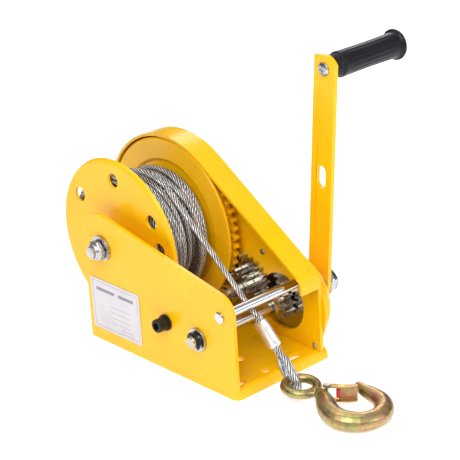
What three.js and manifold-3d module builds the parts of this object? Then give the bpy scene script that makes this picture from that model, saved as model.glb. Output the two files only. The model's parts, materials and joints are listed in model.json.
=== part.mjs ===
// Two-stage hand winch for a boat trailer. Millimetres, +Z up, X along the drum,
// -Y is the front where the rope leaves. The origin is the middle of the footprint
// of everything but the hook and its rope.
import * as THREE from 'three';
import { mergeVertices } from 'three/addons/utils/BufferGeometryUtils.js';
import Module from 'manifold-3d';

const wasm = await Module();
wasm.setup();

// Everything below is measured from the middle of the base, then moved by this.
const TO_ORIGIN = new THREE.Vector3(-64.5, -32.96, 0);

// ---- driving dimensions ----------------------------------------------------
const GAP = 0.3;                 // air left between two pieces that touch
const SHEET = 4;                 // thickness of the frame sheet
const BASE_HALF_X = 62;
const BASE_HALF_Y = 111.5;
const BASE_TOP = 11;
const LEFT_OUT = -62;            // outer face of the left plate
const LEFT_IN = LEFT_OUT + SHEET;
const RIGHT_IN = 52;             // inner face of the right plate
const RIGHT_OUT = RIGHT_IN + SHEET;
const RIM_EDGE = 29;             // free edge of the turned-in housing rim

const DRUM = { y: 82, z: 107.5 };
const INPUT = { y: -59.5, z: 51 };
const GUIDE = { y: -93, z: 84.8 };

const DRUM_MODULE = 3;
const DRUM_TEETH = 59;
const MID_PINION_TEETH = 13;
const INPUT_MODULE = 2.5;
const MID_GEAR_TEETH = 26;
const INPUT_TEETH = 12;
const PRESSURE_ANGLE = THREE.MathUtils.degToRad(20);
const BACKLASH = 0.5;

const DRUM_MID = DRUM_MODULE * (DRUM_TEETH + MID_PINION_TEETH) / 2;
const MID_INPUT = INPUT_MODULE * (MID_GEAR_TEETH + INPUT_TEETH) / 2;
const MID = meetingPoint(INPUT, MID_INPUT, DRUM, DRUM_MID);

const FLANGE_R = 91.3;
const LEFT_FLANGE_R = 89;
const LEFT_FLANGE_X = -42;
const RIGHT_FLANGE_X = 30;
const FLANGE_SHEET = 3;
const FLANGE_DISH = 3;
const FLANGE_DISH_R = 69;
const CORE_R = 50;
const PACK_R = 64.5;             // outside of the wound rope
const ROPE_R = 3;

const RIM_R = 96;                // outside of the housing rim around the drum
const RIM_SHEET = 3;
const HOUSING_FRONT = -112;
const HOUSING_SLOPE = THREE.MathUtils.degToRad(33.6);
const HOUSING_CORNER_R = 10;
const RIM_FRONT_LOW = 80;
const OPENING_R = 30.5;

const COVER_R = 47.5;
const COVER_FLANGE_R = 57;
const COVER_X = 77.5;            // outer face of the brake cover
const COVER_SHEET = 1.6;

const CRANK_X = 103;             // inner face of the crank arm
const CRANK_SHEET = 5;
const CRANK_LENGTH = 237;
const CRANK_LEAN = THREE.MathUtils.degToRad(5);

const EYE_BACK = new THREE.Vector3(-20, -138.2, 15.7);
const BOWL = new THREE.Vector3(-8, -215.3, 10.9);

const FINE = 48;
const ROUND = 24;
const SMALL = 16;

// ---- paints and metals -----------------------------------------------------
const FINISH = {
  yellow: [0xf5b400, 0.35, 0.1],
  steel: [0xb4b4b0, 0.35, 0.9],
  polished: [0xd6d8da, 0.18, 1],
  zinc: [0xc4c8cc, 0.32, 0.9],
  blueZinc: [0x9fb0c8, 0.3, 0.9],
  yellowZinc: [0xb09a58, 0.4, 0.85],
  dark: [0x25262a, 0.5, 0.3],
  rubber: [0x141415, 0.7, 0],
  bronze: [0xb08a4a, 0.4, 0.8],
  lining: [0x4c4238, 0.9, 0],
  aluminium: [0xd9dadc, 0.35, 0.9],
  rope: [0xa9abad, 0.45, 0.8],
  label: [0xe8e6ea, 0.5, 0],
};

const model = new THREE.Group();
model.name = 'boat_trailer_winch';

function add(name, geometry, finish) {
  const [color, roughness, metalness] = FINISH[finish];
  const material = new THREE.MeshStandardMaterial({ color, roughness, metalness });
  material.name = `${name}_${finish}`;
  const solid = clean(geometry).translate(TO_ORIGIN.x, TO_ORIGIN.y, TO_ORIGIN.z);
  const mesh = new THREE.Mesh(solid, material);
  mesh.name = name;
  model.add(mesh);
}

// ---- plane geometry --------------------------------------------------------
// The point at distance ra from a and rb from b, on the lower side of the line.
function meetingPoint(a, ra, b, rb) {
  const dy = b.y - a.y;
  const dz = b.z - a.z;
  const span = Math.hypot(dy, dz);
  const along = (ra * ra - rb * rb + span * span) / (2 * span);
  const off = Math.sqrt(ra * ra - along * along);
  return {
    y: a.y + (dy * along + dz * off) / span,
    z: a.z + (dz * along - dy * off) / span,
  };
}

function onCircle(centre, radius, angle) {
  return [centre.y + radius * Math.cos(angle), centre.z + radius * Math.sin(angle)];
}

function arc(centre, radius, from, to, steps) {
  const points = [];
  for (let i = 0; i <= steps; i += 1) {
    points.push(onCircle(centre, radius, from + (to - from) * i / steps));
  }
  return points;
}

function degrees(value) {
  return THREE.MathUtils.degToRad(value);
}

function shapeOf(points, holes = []) {
  const shape = new THREE.Shape(points.map(([u, v]) => new THREE.Vector2(u, v)));
  for (const hole of holes) {
    shape.holes.push(new THREE.Path(hole.map(([u, v]) => new THREE.Vector2(u, v))));
  }
  return shape;
}

function circle(centre, radius, steps = SMALL) {
  return arc(centre, radius, 0, 2 * Math.PI, steps).slice(0, -1);
}

function hexagon(centre, acrossFlats, turn = 0) {
  const radius = acrossFlats / Math.sqrt(3);
  return arc(centre, radius, turn, turn + 2 * Math.PI, 6).slice(0, -1);
}

// ---- solids ----------------------------------------------------------------
// Shape in (Y, Z), pulled along X.
function pullX(shape, x0, x1) {
  const geometry = new THREE.ExtrudeGeometry(shape, { depth: x1 - x0, bevelEnabled: false });
  const turn = new THREE.Matrix4().set(0, 0, 1, x0, 1, 0, 0, 0, 0, 1, 0, 0, 0, 0, 0, 1);
  return geometry.applyMatrix4(turn);
}

// Shape in (X, Y), pulled along Z.
function pullZ(shape, z0, z1) {
  const geometry = new THREE.ExtrudeGeometry(shape, { depth: z1 - z0, bevelEnabled: false });
  return geometry.translate(0, 0, z0);
}

// Profile of [radius, x] turned about a line along X.
function turnX(profile, centre, steps = ROUND) {
  const geometry = new THREE.LatheGeometry(profile.map(([r, x]) => new THREE.Vector2(r, x)), steps);
  const turn = new THREE.Matrix4().set(0, 1, 0, 0, 0, 0, 1, centre.y, 1, 0, 0, centre.z, 0, 0, 0, 1);
  return geometry.applyMatrix4(turn);
}

function rod(radius, x0, x1, centre, steps = SMALL) {
  return turnX([[0, x0], [radius, x0], [radius, x1], [0, x1]], centre, steps);
}

function sleeve(outer, inner, x0, x1, centre, steps = ROUND) {
  return turnX([[inner, x0], [outer, x0], [outer, x1], [inner, x1], [inner, x0]], centre, steps);
}

// Rings of points with the same count, closed at both ends.
function loft(rings) {
  const count = rings[0].length;
  const position = rings.flat().flatMap((p) => [p.x, p.y, p.z]);
  const index = [];
  for (let i = 0; i + 1 < rings.length; i += 1) {
    for (let j = 0; j < count; j += 1) {
      const a = i * count + j;
      const b = i * count + (j + 1) % count;
      index.push(a, b, a + count, b, b + count, a + count);
    }
  }
  for (const [start, flip] of [[0, true], [(rings.length - 1) * count, false]]) {
    const middle = position.length / 3;
    const centre = new THREE.Vector3();
    for (let j = 0; j < count; j += 1) {
      centre.add(new THREE.Vector3().fromArray(position, 3 * (start + j)));
    }
    centre.divideScalar(count);
    position.push(centre.x, centre.y, centre.z);
    for (let j = 0; j < count; j += 1) {
      const a = start + j;
      const b = start + (j + 1) % count;
      index.push(...(flip ? [b, a, middle] : [a, b, middle]));
    }
  }
  const geometry = new THREE.BufferGeometry();
  geometry.setAttribute('position', new THREE.Float32BufferAttribute(position, 3));
  geometry.setIndex(index);
  return geometry;
}

// Round bar whose radius changes along a curve lying in the plane of u and v.
function bar(points, radii, normal, flat, sides, steps) {
  const curve = new THREE.CatmullRomCurve3(points, false, 'centripetal');
  const thickness = new THREE.CatmullRomCurve3(radii.map((r, i) => new THREE.Vector3(i, r, 0)));
  const rings = [];
  for (let i = 0; i <= steps; i += 1) {
    const t = i / steps;
    const centre = curve.getPoint(t);
    const side = curve.getTangent(t).cross(normal).normalize();
    const radius = thickness.getPoint(t).y;
    const ring = [];
    for (let j = 0; j < sides; j += 1) {
      const angle = 2 * Math.PI * j / sides;
      ring.push(centre.clone()
        .addScaledVector(side, radius * Math.cos(angle))
        .addScaledVector(normal, radius * flat * Math.sin(angle)));
    }
    rings.push(ring);
  }
  return loft(rings);
}

function clean(source) {
  let geometry = source.clone();
  geometry.deleteAttribute('normal');
  geometry.deleteAttribute('uv');
  geometry = mergeVertices(geometry, 1e-4);
  const position = geometry.attributes.position;
  const index = geometry.index.array;
  const kept = [];
  let volume = 0;
  const a = new THREE.Vector3();
  const b = new THREE.Vector3();
  const c = new THREE.Vector3();
  for (let i = 0; i < index.length; i += 3) {
    const [p, q, r] = [index[i], index[i + 1], index[i + 2]];
    if (p !== q && q !== r && r !== p) {
      kept.push(p, q, r);
      a.fromBufferAttribute(position, p);
      b.fromBufferAttribute(position, q);
      c.fromBufferAttribute(position, r);
      volume += a.dot(b.cross(c));
    }
  }
  if (volume < 0) {
    for (let i = 0; i < kept.length; i += 3) {
      [kept[i + 1], kept[i + 2]] = [kept[i + 2], kept[i + 1]];
    }
  }
  geometry.setIndex(kept);
  geometry.computeVertexNormals();
  return geometry;
}

function toManifold(source) {
  const geometry = clean(source);
  return new wasm.Manifold(new wasm.Mesh({
    numProp: 3,
    vertProperties: new Float32Array(geometry.attributes.position.array),
    triVerts: new Uint32Array(geometry.index.array),
  }));
}

function fromManifold(solid) {
  const mesh = solid.getMesh();
  const geometry = new THREE.BufferGeometry();
  geometry.setAttribute('position', new THREE.BufferAttribute(new Float32Array(mesh.vertProperties), 3));
  geometry.setIndex(Array.from(mesh.triVerts));
  return geometry;
}

function joined(...parts) {
  return fromManifold(parts.map(toManifold).reduce((all, next) => all.add(next)));
}

function cut(body, ...tools) {
  return fromManifold(tools.map(toManifold).reduce((left, tool) => left.subtract(tool), toManifold(body)));
}

// ---- gear outlines ---------------------------------------------------------
function involute(angle) {
  return Math.tan(angle) - angle;
}

function gearOutline(centre, module, teeth, phase) {
  const pitchR = module * teeth / 2;
  const baseR = pitchR * Math.cos(PRESSURE_ANGLE);
  const tipR = pitchR + 0.8 * module;
  const rootR = pitchR - 1.05 * module;
  const flankSteps = 2;
  const startR = Math.max(baseR, rootR);
  const halfPitch = Math.PI / (2 * teeth) - BACKLASH / (4 * pitchR);
  const flank = [];
  for (let i = 0; i <= flankSteps; i += 1) {
    const radius = startR + (tipR - startR) * i / flankSteps;
    const half = halfPitch + involute(PRESSURE_ANGLE) - involute(Math.acos(baseR / radius));
    flank.push([radius, half]);
  }
  if (rootR < startR) {
    flank.unshift([rootR, flank[0][1]]);
  }
  const points = [];
  for (let tooth = 0; tooth < teeth; tooth += 1) {
    const middle = phase + 2 * Math.PI * tooth / teeth;
    for (const [radius, half] of flank) {
      points.push(onCircle(centre, radius, middle - half));
    }
    for (const [radius, half] of [...flank].reverse()) {
      points.push(onCircle(centre, radius, middle + half));
    }
  }
  return points;
}

function direction(from, to) {
  return Math.atan2(to.z - from.z, to.y - from.y);
}

function gear(centre, module, teeth, phase, bore, x0, x1) {
  const outline = gearOutline(centre, module, teeth, phase);
  return pullX(shapeOf(outline, [circle(centre, bore)]), x0, x1);
}

// ---- frame -----------------------------------------------------------------
const ROD_R = 5;
const DRUM_BOLT_R = 6;
const MID_AXLE_R = 6;
const SHAFT_R = 6.5;

function leftPlateOutline() {
  const crown = { y: 81.5, z: 113.5 };
  const crownR = 30.5;
  const slope = Math.atan(0.2);
  const cornerR = 20;
  const tangent = Math.PI / 2 + slope;
  const corner = { y: -111.5 + cornerR, z: 0 };
  const crownTouch = onCircle(crown, crownR, tangent);
  const touchY = corner.y + cornerR * Math.cos(tangent);
  corner.z = crownTouch[1] - (crownTouch[0] - touchY) * Math.tan(slope) - cornerR * Math.sin(tangent);
  return [
    [-111.5, 0],
    [crown.y + crownR, 0],
    ...arc(crown, crownR, 0, tangent, 14),
    ...arc(corner, cornerR, tangent, Math.PI, 8),
  ];
}

function slot(x, y, halfLength, radius) {
  const right = { y: x + halfLength, z: y };
  const left = { y: x - halfLength, z: y };
  return [
    ...arc(right, radius, -Math.PI / 2, Math.PI / 2, 8),
    ...arc(left, radius, Math.PI / 2, 3 * Math.PI / 2, 8),
  ];
}

const MOUNT_ROW_Y = 98;
const MOUNT_SLOTS_X = [-49, 27];
const MOUNT_MIDDLE_X = -11.5;
const CENTRE_HOLE_Y = -61;

function baseHoles() {
  const holes = [];
  for (const y of [-MOUNT_ROW_Y, MOUNT_ROW_Y]) {
    for (const x of MOUNT_SLOTS_X) {
      holes.push(slot(x, y, 4.5, 4.5));
    }
    holes.push(circle({ y: MOUNT_MIDDLE_X, z: y }, 5));
  }
  for (const y of [CENTRE_HOLE_Y, -CENTRE_HOLE_Y]) {
    holes.push(circle({ y: MOUNT_MIDDLE_X, z: y }, 5));
  }
  return holes;
}

// The base is a channel: a flat sheet whose front and back edges turn down.
function baseSheet() {
  const bendR = 6;
  const inner = bendR - SHEET;
  const low = 0;
  const front = { y: -BASE_HALF_Y + bendR, z: BASE_TOP - bendR };
  const back = { y: BASE_HALF_Y - bendR, z: BASE_TOP - bendR };
  const section = [
    ...arc(back, bendR, 0, Math.PI / 2, 5),
    ...arc(front, bendR, Math.PI / 2, Math.PI, 5),
    [-BASE_HALF_Y, low],
    [-BASE_HALF_Y + SHEET, low],
    ...arc(front, inner, Math.PI, Math.PI / 2, 3),
    ...arc(back, inner, Math.PI / 2, 0, 3),
    [BASE_HALF_Y - SHEET, low],
    [BASE_HALF_Y, low],
  ];
  const sheet = pullX(shapeOf(section), LEFT_OUT + 0.5, BASE_HALF_X);
  const cutters = baseHoles().map((hole) => pullZ(shapeOf(hole), 0, BASE_TOP + SHEET));
  return cut(sheet, ...cutters);
}

// The front left corner of the channel is pressed round at its foot and runs out
// to the plate's square edge above.
function cornerCutters() {
  const foot = 8;
  const straight = 4;
  const top = 13;
  const slices = 8;
  const cutters = [];
  for (let i = 0; i < slices; i += 1) {
    const low = i === 0 ? -1 : straight + (top - straight) * (i - 1) / (slices - 1);
    const high = straight + (top - straight) * i / (slices - 1);
    const radius = foot * Math.cos(Math.PI / 2 * i / slices);
    const middle = { y: LEFT_OUT + radius, z: radius - BASE_HALF_Y };
    const shape = [
      [LEFT_OUT - 1, -BASE_HALF_Y - 1],
      [middle.y, -BASE_HALF_Y - 1],
      ...arc(middle, radius, -Math.PI / 2, -Math.PI, 8),
      [LEFT_OUT - 1, middle.z],
    ];
    cutters.push(pullZ(shapeOf(shape), low, high));
  }
  return cutters;
}

function frameSheet() {
  const holes = [
    circle(DRUM, DRUM_BOLT_R + GAP),
    circle(MID, MID_AXLE_R + GAP),
    circle(INPUT, SHAFT_R + GAP),
    circle(GUIDE, ROD_R + GAP),
  ];
  const plate = pullX(shapeOf(leftPlateOutline(), holes), LEFT_OUT, LEFT_IN);
  return cut(joined(plate, baseSheet()), ...cornerCutters());
}

// Outline of the right housing, moved inwards by an inset.
function housingOutline(inset, low, frontLow) {
  const radius = RIM_R - inset;
  const tangent = Math.PI / 2 + HOUSING_SLOPE;
  const corner = { y: HOUSING_FRONT + HOUSING_CORNER_R, z: 0 };
  const drumTouch = onCircle(DRUM, RIM_R, tangent);
  const touchY = corner.y + HOUSING_CORNER_R * Math.cos(tangent);
  const touchZ = drumTouch[1] - (drumTouch[0] - touchY) * Math.tan(HOUSING_SLOPE);
  corner.z = touchZ - HOUSING_CORNER_R * Math.sin(tangent);
  const footBack = BASE_HALF_Y - 0.5 - inset;
  const backAngle = degrees(-38);
  return [
    [HOUSING_FRONT + inset, frontLow],
    [footBack, low],
    ...arc(DRUM, radius, backAngle, tangent, 28),
    ...arc(corner, HOUSING_CORNER_R - inset, tangent, Math.PI, 5),
  ];
}

function rightHousing() {
  const foot = BASE_TOP + GAP;
  const holes = [
    circle(DRUM, DRUM_BOLT_R + GAP),
    circle(MID, MID_AXLE_R + GAP),
    circle(GUIDE, ROD_R + GAP),
    circle(INPUT, OPENING_R, ROUND),
    ...footRivets().map((spot) => circle(spot, RIVET_R + GAP, 12)),
    ...coverRivets().map((spot) => circle(spot, RIVET_R + GAP, 12)),
    circle(pawlPinSpot(), PAWL_PIN_R + GAP, 12),
  ];
  const plate = pullX(shapeOf(housingOutline(0, foot, foot), holes), RIGHT_IN, RIGHT_OUT);
  const outside = pullX(shapeOf(housingOutline(0, foot, foot)), RIM_EDGE, RIGHT_IN + 0.5);
  const inside = pullX(shapeOf(housingOutline(RIM_SHEET, foot, foot)), RIM_EDGE - 1, RIGHT_IN + 1);
  const far = 400;
  const belowFront = pullX(shapeOf([
    [-far, -far], [60, -far], [60, RIM_FRONT_LOW], [-far, RIM_FRONT_LOW],
  ]), RIM_EDGE - 2, RIGHT_IN);
  const belowBack = pullX(shapeOf([
    [0, -far], [far, -far], [far, 48], [0, 48],
  ]), RIM_EDGE - 2, RIGHT_IN);
  return joined(plate, cut(outside, inside, belowFront, belowBack));
}

// ---- fastenings of the frame ------------------------------------------------
const RIVET_R = 1.9;

function footRivets() {
  return [{ y: -104, z: 15.5 }, { y: -13, z: 15.5 }];
}

function coverRivets() {
  return [62, 100, 126].map((angle) => {
    const [y, z] = onCircle(INPUT, COVER_FLANGE_R - 3.4, degrees(angle));
    return { y, z };
  });
}

function guideRod() {
  const head = 6;
  const high = 2.4;
  const left = LEFT_OUT - GAP;
  return turnX([
    [0, left - high], [head * 0.7, left - high], [head, left - high * 0.5], [head, left],
    [ROD_R, left], [ROD_R, RIGHT_OUT], [0, RIGHT_OUT],
  ], GUIDE, SMALL);
}

// Rivet through the right plate and the sheet of the cover.
function rivet(spot) {
  const head = 3.2;
  const left = RIGHT_IN - GAP;
  const right = RIGHT_OUT + GAP + COVER_SHEET + GAP;
  return turnX([
    [0, left - 1.6], [head * 0.6, left - 1.6], [head, left - 0.6], [head, left],
    [RIVET_R, left], [RIVET_R, right], [2.7, right], [2.7, right + 0.6],
    [1.8, right + 1.4], [0, right + 1.4],
  ], spot, 12);
}

function hexNut(centre, acrossFlats, bore, x0, x1, turn = 0) {
  return pullX(shapeOf(hexagon(centre, acrossFlats, turn), [circle(centre, bore)]), x0, x1);
}

function hexBolt(centre, radius, x0, x1, acrossFlats, headLong) {
  const shank = rod(radius, x0, x1 + 0.5, centre);
  const head = pullX(shapeOf(hexagon(centre, acrossFlats, degrees(12))), x1, x1 + headLong);
  return joined(shank, head);
}

const D_WASHER_R = 14;
const WASHER_LONG = 3;

function dWasher() {
  const flatHalf = degrees(38);
  const flatAt = degrees(-100);
  const outline = arc(DRUM, D_WASHER_R, flatAt + flatHalf, flatAt + 2 * Math.PI - flatHalf, 26);
  const x1 = LEFT_OUT - GAP;
  return pullX(shapeOf(outline, [circle(DRUM, DRUM_BOLT_R + GAP)]), x1 - WASHER_LONG, x1);
}

const DRUM_NUT_X = LEFT_OUT - GAP - WASHER_LONG - GAP;
const DRUM_NUT_LONG = 10;
const DRUM_BOLT_END = -78;
const BOSS_FLANGE_R = 8.5;
const BOSS_R = 7;
const BOSS_END = -76;

function midBoss() {
  const x1 = LEFT_OUT - GAP;
  const body = turnX([
    [0, BOSS_END], [BOSS_R - 0.8, BOSS_END], [BOSS_R, BOSS_END + 0.8], [BOSS_R, x1 - 3],
    [BOSS_FLANGE_R, x1 - 3], [BOSS_FLANGE_R, x1], [0, x1],
  ], MID, ROUND);
  const socket = pullX(shapeOf(hexagon(MID, 7.6)), BOSS_END - 1, BOSS_END + 6);
  return cut(body, socket);
}

// ---- brake -----------------------------------------------------------------
const PAWL_PIN_R = 3;
const RATCHET_TIP_R = 29;
const RATCHET_ROOT_R = 24.5;
const RATCHET_TEETH = 12;
const RATCHET_X = [62, 67];
const RATCHET_PHASE = degrees(20.5);
const PAWL_EYE_R = 6.5;
const DISC_R = 29.6;

function pawlPinSpot() {
  const [y, z] = onCircle(INPUT, 36.6, degrees(30));
  return { y, z };
}

function ratchetOutline() {
  const points = [];
  const undercut = degrees(3);
  for (let tooth = 0; tooth < RATCHET_TEETH; tooth += 1) {
    const start = RATCHET_PHASE + 2 * Math.PI * tooth / RATCHET_TEETH;
    const pitch = 2 * Math.PI / RATCHET_TEETH;
    points.push(onCircle(INPUT, RATCHET_TIP_R, start));
    for (let i = 1; i <= 3; i += 1) {
      const t = i / 3;
      const radius = RATCHET_TIP_R - 0.6 - (RATCHET_TIP_R - 0.6 - RATCHET_ROOT_R) * t;
      points.push(onCircle(INPUT, radius, start + undercut + (pitch - undercut - degrees(1)) * t));
    }
  }
  return points;
}

// A curved pawl that lies over the wheel and drops into one tooth space.
function pawl() {
  const pin = pawlPinSpot();
  const inner = RATCHET_TIP_R + 1.2;
  const outer = RATCHET_TIP_R + 7;
  const outline = [
    ...arc(INPUT, outer, degrees(32), degrees(79), 10),
    onCircle(INPUT, RATCHET_TIP_R, degrees(79.3)),
    onCircle(INPUT, RATCHET_ROOT_R + 0.9, degrees(78.4)),
    onCircle(INPUT, RATCHET_ROOT_R + 1.2, degrees(75.5)),
    onCircle(INPUT, RATCHET_ROOT_R + 3, degrees(70)),
    ...arc(INPUT, inner, degrees(66), degrees(32), 6),
  ];
  const [x0, x1] = RATCHET_X;
  const eye = sleeve(PAWL_EYE_R, PAWL_PIN_R + GAP, x0 + 0.5, x1 - 0.5, pin, SMALL);
  const bore = rod(PAWL_PIN_R + GAP, x0, x1, pin);
  return joined(cut(pullX(shapeOf(outline), x0 + 0.5, x1 - 0.5), bore), eye);
}

function brakeCover() {
  const back = RIGHT_OUT + GAP;
  const bendR = 7;
  const holeR = 16;
  const outer = [];
  const inner = [];
  for (let i = 0; i <= 3; i += 1) {
    const angle = Math.PI / 2 * i / 3;
    outer.push([COVER_R - bendR + bendR * Math.cos(angle), COVER_X - bendR + bendR * Math.sin(angle)]);
    const small = bendR - COVER_SHEET;
    inner.push([COVER_R - bendR + small * Math.cos(angle), COVER_X - bendR + small * Math.sin(angle)]);
  }
  const profile = [
    [COVER_R - COVER_SHEET, back], [COVER_FLANGE_R, back], [COVER_FLANGE_R, back + COVER_SHEET],
    [COVER_R, back + COVER_SHEET], ...outer,
    [holeR, COVER_X], [holeR, COVER_X - COVER_SHEET], ...inner.reverse(),
    [COVER_R - COVER_SHEET, back],
  ];
  const dome = turnX(profile, INPUT, FINE);
  const far = 200;
  const cutLow = 18.5;
  const below = pullX(shapeOf([[-far, -far], [far, -far], [far, cutLow], [-far, cutLow]]), back - 1, COVER_X + 1);
  const footHoles = footRivets().map((spot) => circle(spot, RIVET_R + GAP, 12));
  const front = -107.5;
  const rear = -9;
  const foot = pullX(shapeOf([
    [front, BASE_TOP + GAP], [rear, BASE_TOP + GAP], [rear, 40], [-13, 46], [-106, 46], [front, 40],
  ], footHoles), back, back + COVER_SHEET);
  const window = rod(COVER_R - COVER_SHEET, back - 1, back + COVER_SHEET + 1, INPUT, FINE);
  const upper = pullX(shapeOf([
    [-far, cutLow - 0.01], [far, cutLow - 0.01], [far, far], [-far, far],
  ]), back - 2, back + 4);
  const openFoot = cut(foot, fromManifold(toManifold(window).intersect(toManifold(upper))));
  const lip = COVER_R - COVER_SHEET * 0.4;
  const half = Math.sqrt(lip * lip - (INPUT.z - cutLow) ** 2);
  const shelf = pullX(shapeOf([
    [INPUT.y - half, cutLow - COVER_SHEET + 0.4], [INPUT.y + half, cutLow - COVER_SHEET + 0.4],
    [INPUT.y + half - 0.4, cutLow + 0.6], [INPUT.y - half + 0.4, cutLow + 0.6],
  ]), back + 0.2, COVER_X - 5.5);
  const holes = coverRivets().map((spot) => rod(RIVET_R + GAP, back - 1, back + 4, spot, 12));
  return joined(cut(cut(dome, below), ...holes), openFoot, shelf);
}

// Steel disc fixed on the input shaft, just outside the plate.
function brakeDisc() {
  const boss = 11;
  return turnX([
    [SHAFT_R + GAP, 56.6], [DISC_R, 56.6], [DISC_R, 59.6], [boss, 59.6],
    [boss, 61.5], [SHAFT_R + GAP, 61.5], [SHAFT_R + GAP, 56.6],
  ], INPUT, FINE);
}

function ratchetWheel() {
  const [x0, x1] = RATCHET_X;
  return pullX(shapeOf(ratchetOutline(), [circle(INPUT, 11 + GAP, ROUND)]), x0, x1);
}

function pawlPin() {
  return rod(PAWL_PIN_R, RIGHT_IN, 69.6, pawlPinSpot());
}

// Open coil around the pawl pin with one leg on the pawl.
function pawlSpring() {
  const pin = pawlPinSpot();
  const coilR = 4.6;
  const turns = 2.5;
  const points = [];
  for (let i = 0; i <= 24; i += 1) {
    const angle = 2 * Math.PI * turns * i / 24 + degrees(120);
    const x = 58 + 3.2 * i / 24;
    const [y, z] = onCircle(pin, coilR, angle);
    points.push(new THREE.Vector3(x, y, z));
  }
  return tube(points, 0.5, 5, 44);
}

function tube(points, radius, sides, steps) {
  const curve = new THREE.CatmullRomCurve3(points, false, 'centripetal');
  const section = shapeOf(circle({ y: 0, z: 0 }, radius, sides));
  return new THREE.ExtrudeGeometry(section, { steps, bevelEnabled: false, extrudePath: curve });
}

// ---- input shaft -------------------------------------------------------------
const SHAFT_LEFT = -73.5;
const SHAFT_RIGHT = 123;
const GROOVE_X = -69;

function inputShaft() {
  return turnX([
    [0, SHAFT_LEFT], [SHAFT_R - 1, SHAFT_LEFT], [SHAFT_R, SHAFT_LEFT + 1], [SHAFT_R, GROOVE_X],
    [SHAFT_R - 1.2, GROOVE_X], [SHAFT_R - 1.2, GROOVE_X + 1.4], [SHAFT_R, GROOVE_X + 1.4],
    [SHAFT_R, SHAFT_RIGHT - 1], [SHAFT_R - 1, SHAFT_RIGHT], [0, SHAFT_RIGHT],
  ], INPUT, ROUND);
}

function clip() {
  const from = degrees(-60);
  const to = degrees(240);
  const outline = [
    ...arc(INPUT, 9.6, from, to, 24),
    ...arc(INPUT, SHAFT_R - 0.9, to, from, 24),
  ];
  return pullX(shapeOf(outline), GROOVE_X + GAP, GROOVE_X + 1.1);
}

// ---- drum --------------------------------------------------------------------
const FLANGE_HOLE_R = 7.8;
const HOLE_CIRCLE_R = 68;
const FLANGE_HOLE_ANGLES = [35, 91, 147, 172, 235, 280];

function flangeHoles() {
  return FLANGE_HOLE_ANGLES.map((angle) => {
    const [y, z] = onCircle(DRUM, HOLE_CIRCLE_R, degrees(angle));
    return circle({ y, z }, FLANGE_HOLE_R);
  });
}

// Pressed disc with its rim swept back towards the rope.
function leftFlange() {
  const x0 = LEFT_FLANGE_X;
  const x1 = x0 + FLANGE_SHEET;
  const disc = turnX([
    [DRUM_BOLT_R + 4 + GAP, x0], [LEFT_FLANGE_R - 5, x0], [LEFT_FLANGE_R - 1.5, x0 + 1.6],
    [LEFT_FLANGE_R, x0 + 4.6], [LEFT_FLANGE_R - 2.4, x0 + 5], [LEFT_FLANGE_R - 3.6, x1 + 0.9],
    [LEFT_FLANGE_R - 5.6, x1], [DRUM_BOLT_R + 4 + GAP, x1], [DRUM_BOLT_R + 4 + GAP, x0],
  ], DRUM, FINE);
  const cutters = flangeHoles().map((hole) => pullX(shapeOf(hole), x0 - 1, x1 + 1));
  return cut(disc, ...cutters);
}

function rightFlange() {
  const x0 = RIGHT_FLANGE_X;
  const x1 = x0 + FLANGE_SHEET;
  const bore = DRUM_BOLT_R + 4 + GAP;
  return turnX([
    [bore, x0 + FLANGE_DISH], [FLANGE_DISH_R - 3, x0 + FLANGE_DISH], [FLANGE_DISH_R, x0],
    [FLANGE_R - 1.2, x0], [FLANGE_R, x0 + 1.2], [FLANGE_R, x1], [FLANGE_DISH_R + 1, x1],
    [FLANGE_DISH_R - 2, x1 + FLANGE_DISH], [bore, x1 + FLANGE_DISH], [bore, x0 + FLANGE_DISH],
  ], DRUM, FINE);
}

const CORE_X = [LEFT_FLANGE_X + FLANGE_SHEET + GAP, RIGHT_FLANGE_X + FLANGE_DISH - GAP];
const DRUM_GEAR_X = [37.5, 44.5];

function drumGear() {
  const phase = direction(DRUM, MID);
  const [x0, x1] = DRUM_GEAR_X;
  return gear(DRUM, DRUM_MODULE, DRUM_TEETH, phase, DRUM_BOLT_R + 4 + GAP, x0, x1);
}

function ropePack() {
  const x0 = CORE_X[0] + 0.7;
  const x1 = CORE_X[1] - 4.2;
  const inner = CORE_R + GAP;
  const middle = (x0 + x1) / 2;
  return turnX([
    [inner, x0], [PACK_R - 5, x0], [PACK_R - 1.5, x0 + 6], [PACK_R, middle],
    [PACK_R - 1, x1 - 6], [PACK_R - 5, x1], [inner, x1], [inner, x0],
  ], DRUM, FINE);
}

function ropeClamp() {
  const [y, z] = onCircle(DRUM, 42, degrees(183));
  const x1 = LEFT_FLANGE_X - GAP;
  return turnX([
    [0, x1 - 4.4], [3, x1 - 4.4], [5, x1 - 2.6], [5, x1 - 1.6], [8, x1 - 1.6], [8, x1], [0, x1],
  ], { y, z }, SMALL);
}

// ---- intermediate shaft -------------------------------------------------------
const MID_GEAR_X = [46.2, 51.4];
const MID_PINION_X = [36.6, 45.9];
const INPUT_PINION_X = [42, 54.5];

function midGear() {
  const phase = direction(MID, INPUT);
  const [x0, x1] = MID_GEAR_X;
  return gear(MID, INPUT_MODULE, MID_GEAR_TEETH, phase, MID_AXLE_R + GAP, x0, x1);
}

function midPinion() {
  const phase = direction(MID, DRUM) + Math.PI / MID_PINION_TEETH;
  const [x0, x1] = MID_PINION_X;
  return gear(MID, DRUM_MODULE, MID_PINION_TEETH, phase, MID_AXLE_R + GAP, x0, x1);
}

function inputPinion() {
  const phase = direction(INPUT, MID) + Math.PI / INPUT_TEETH;
  const [x0, x1] = INPUT_PINION_X;
  return gear(INPUT, INPUT_MODULE, INPUT_TEETH, phase, SHAFT_R + GAP, x0, x1);
}

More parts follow.
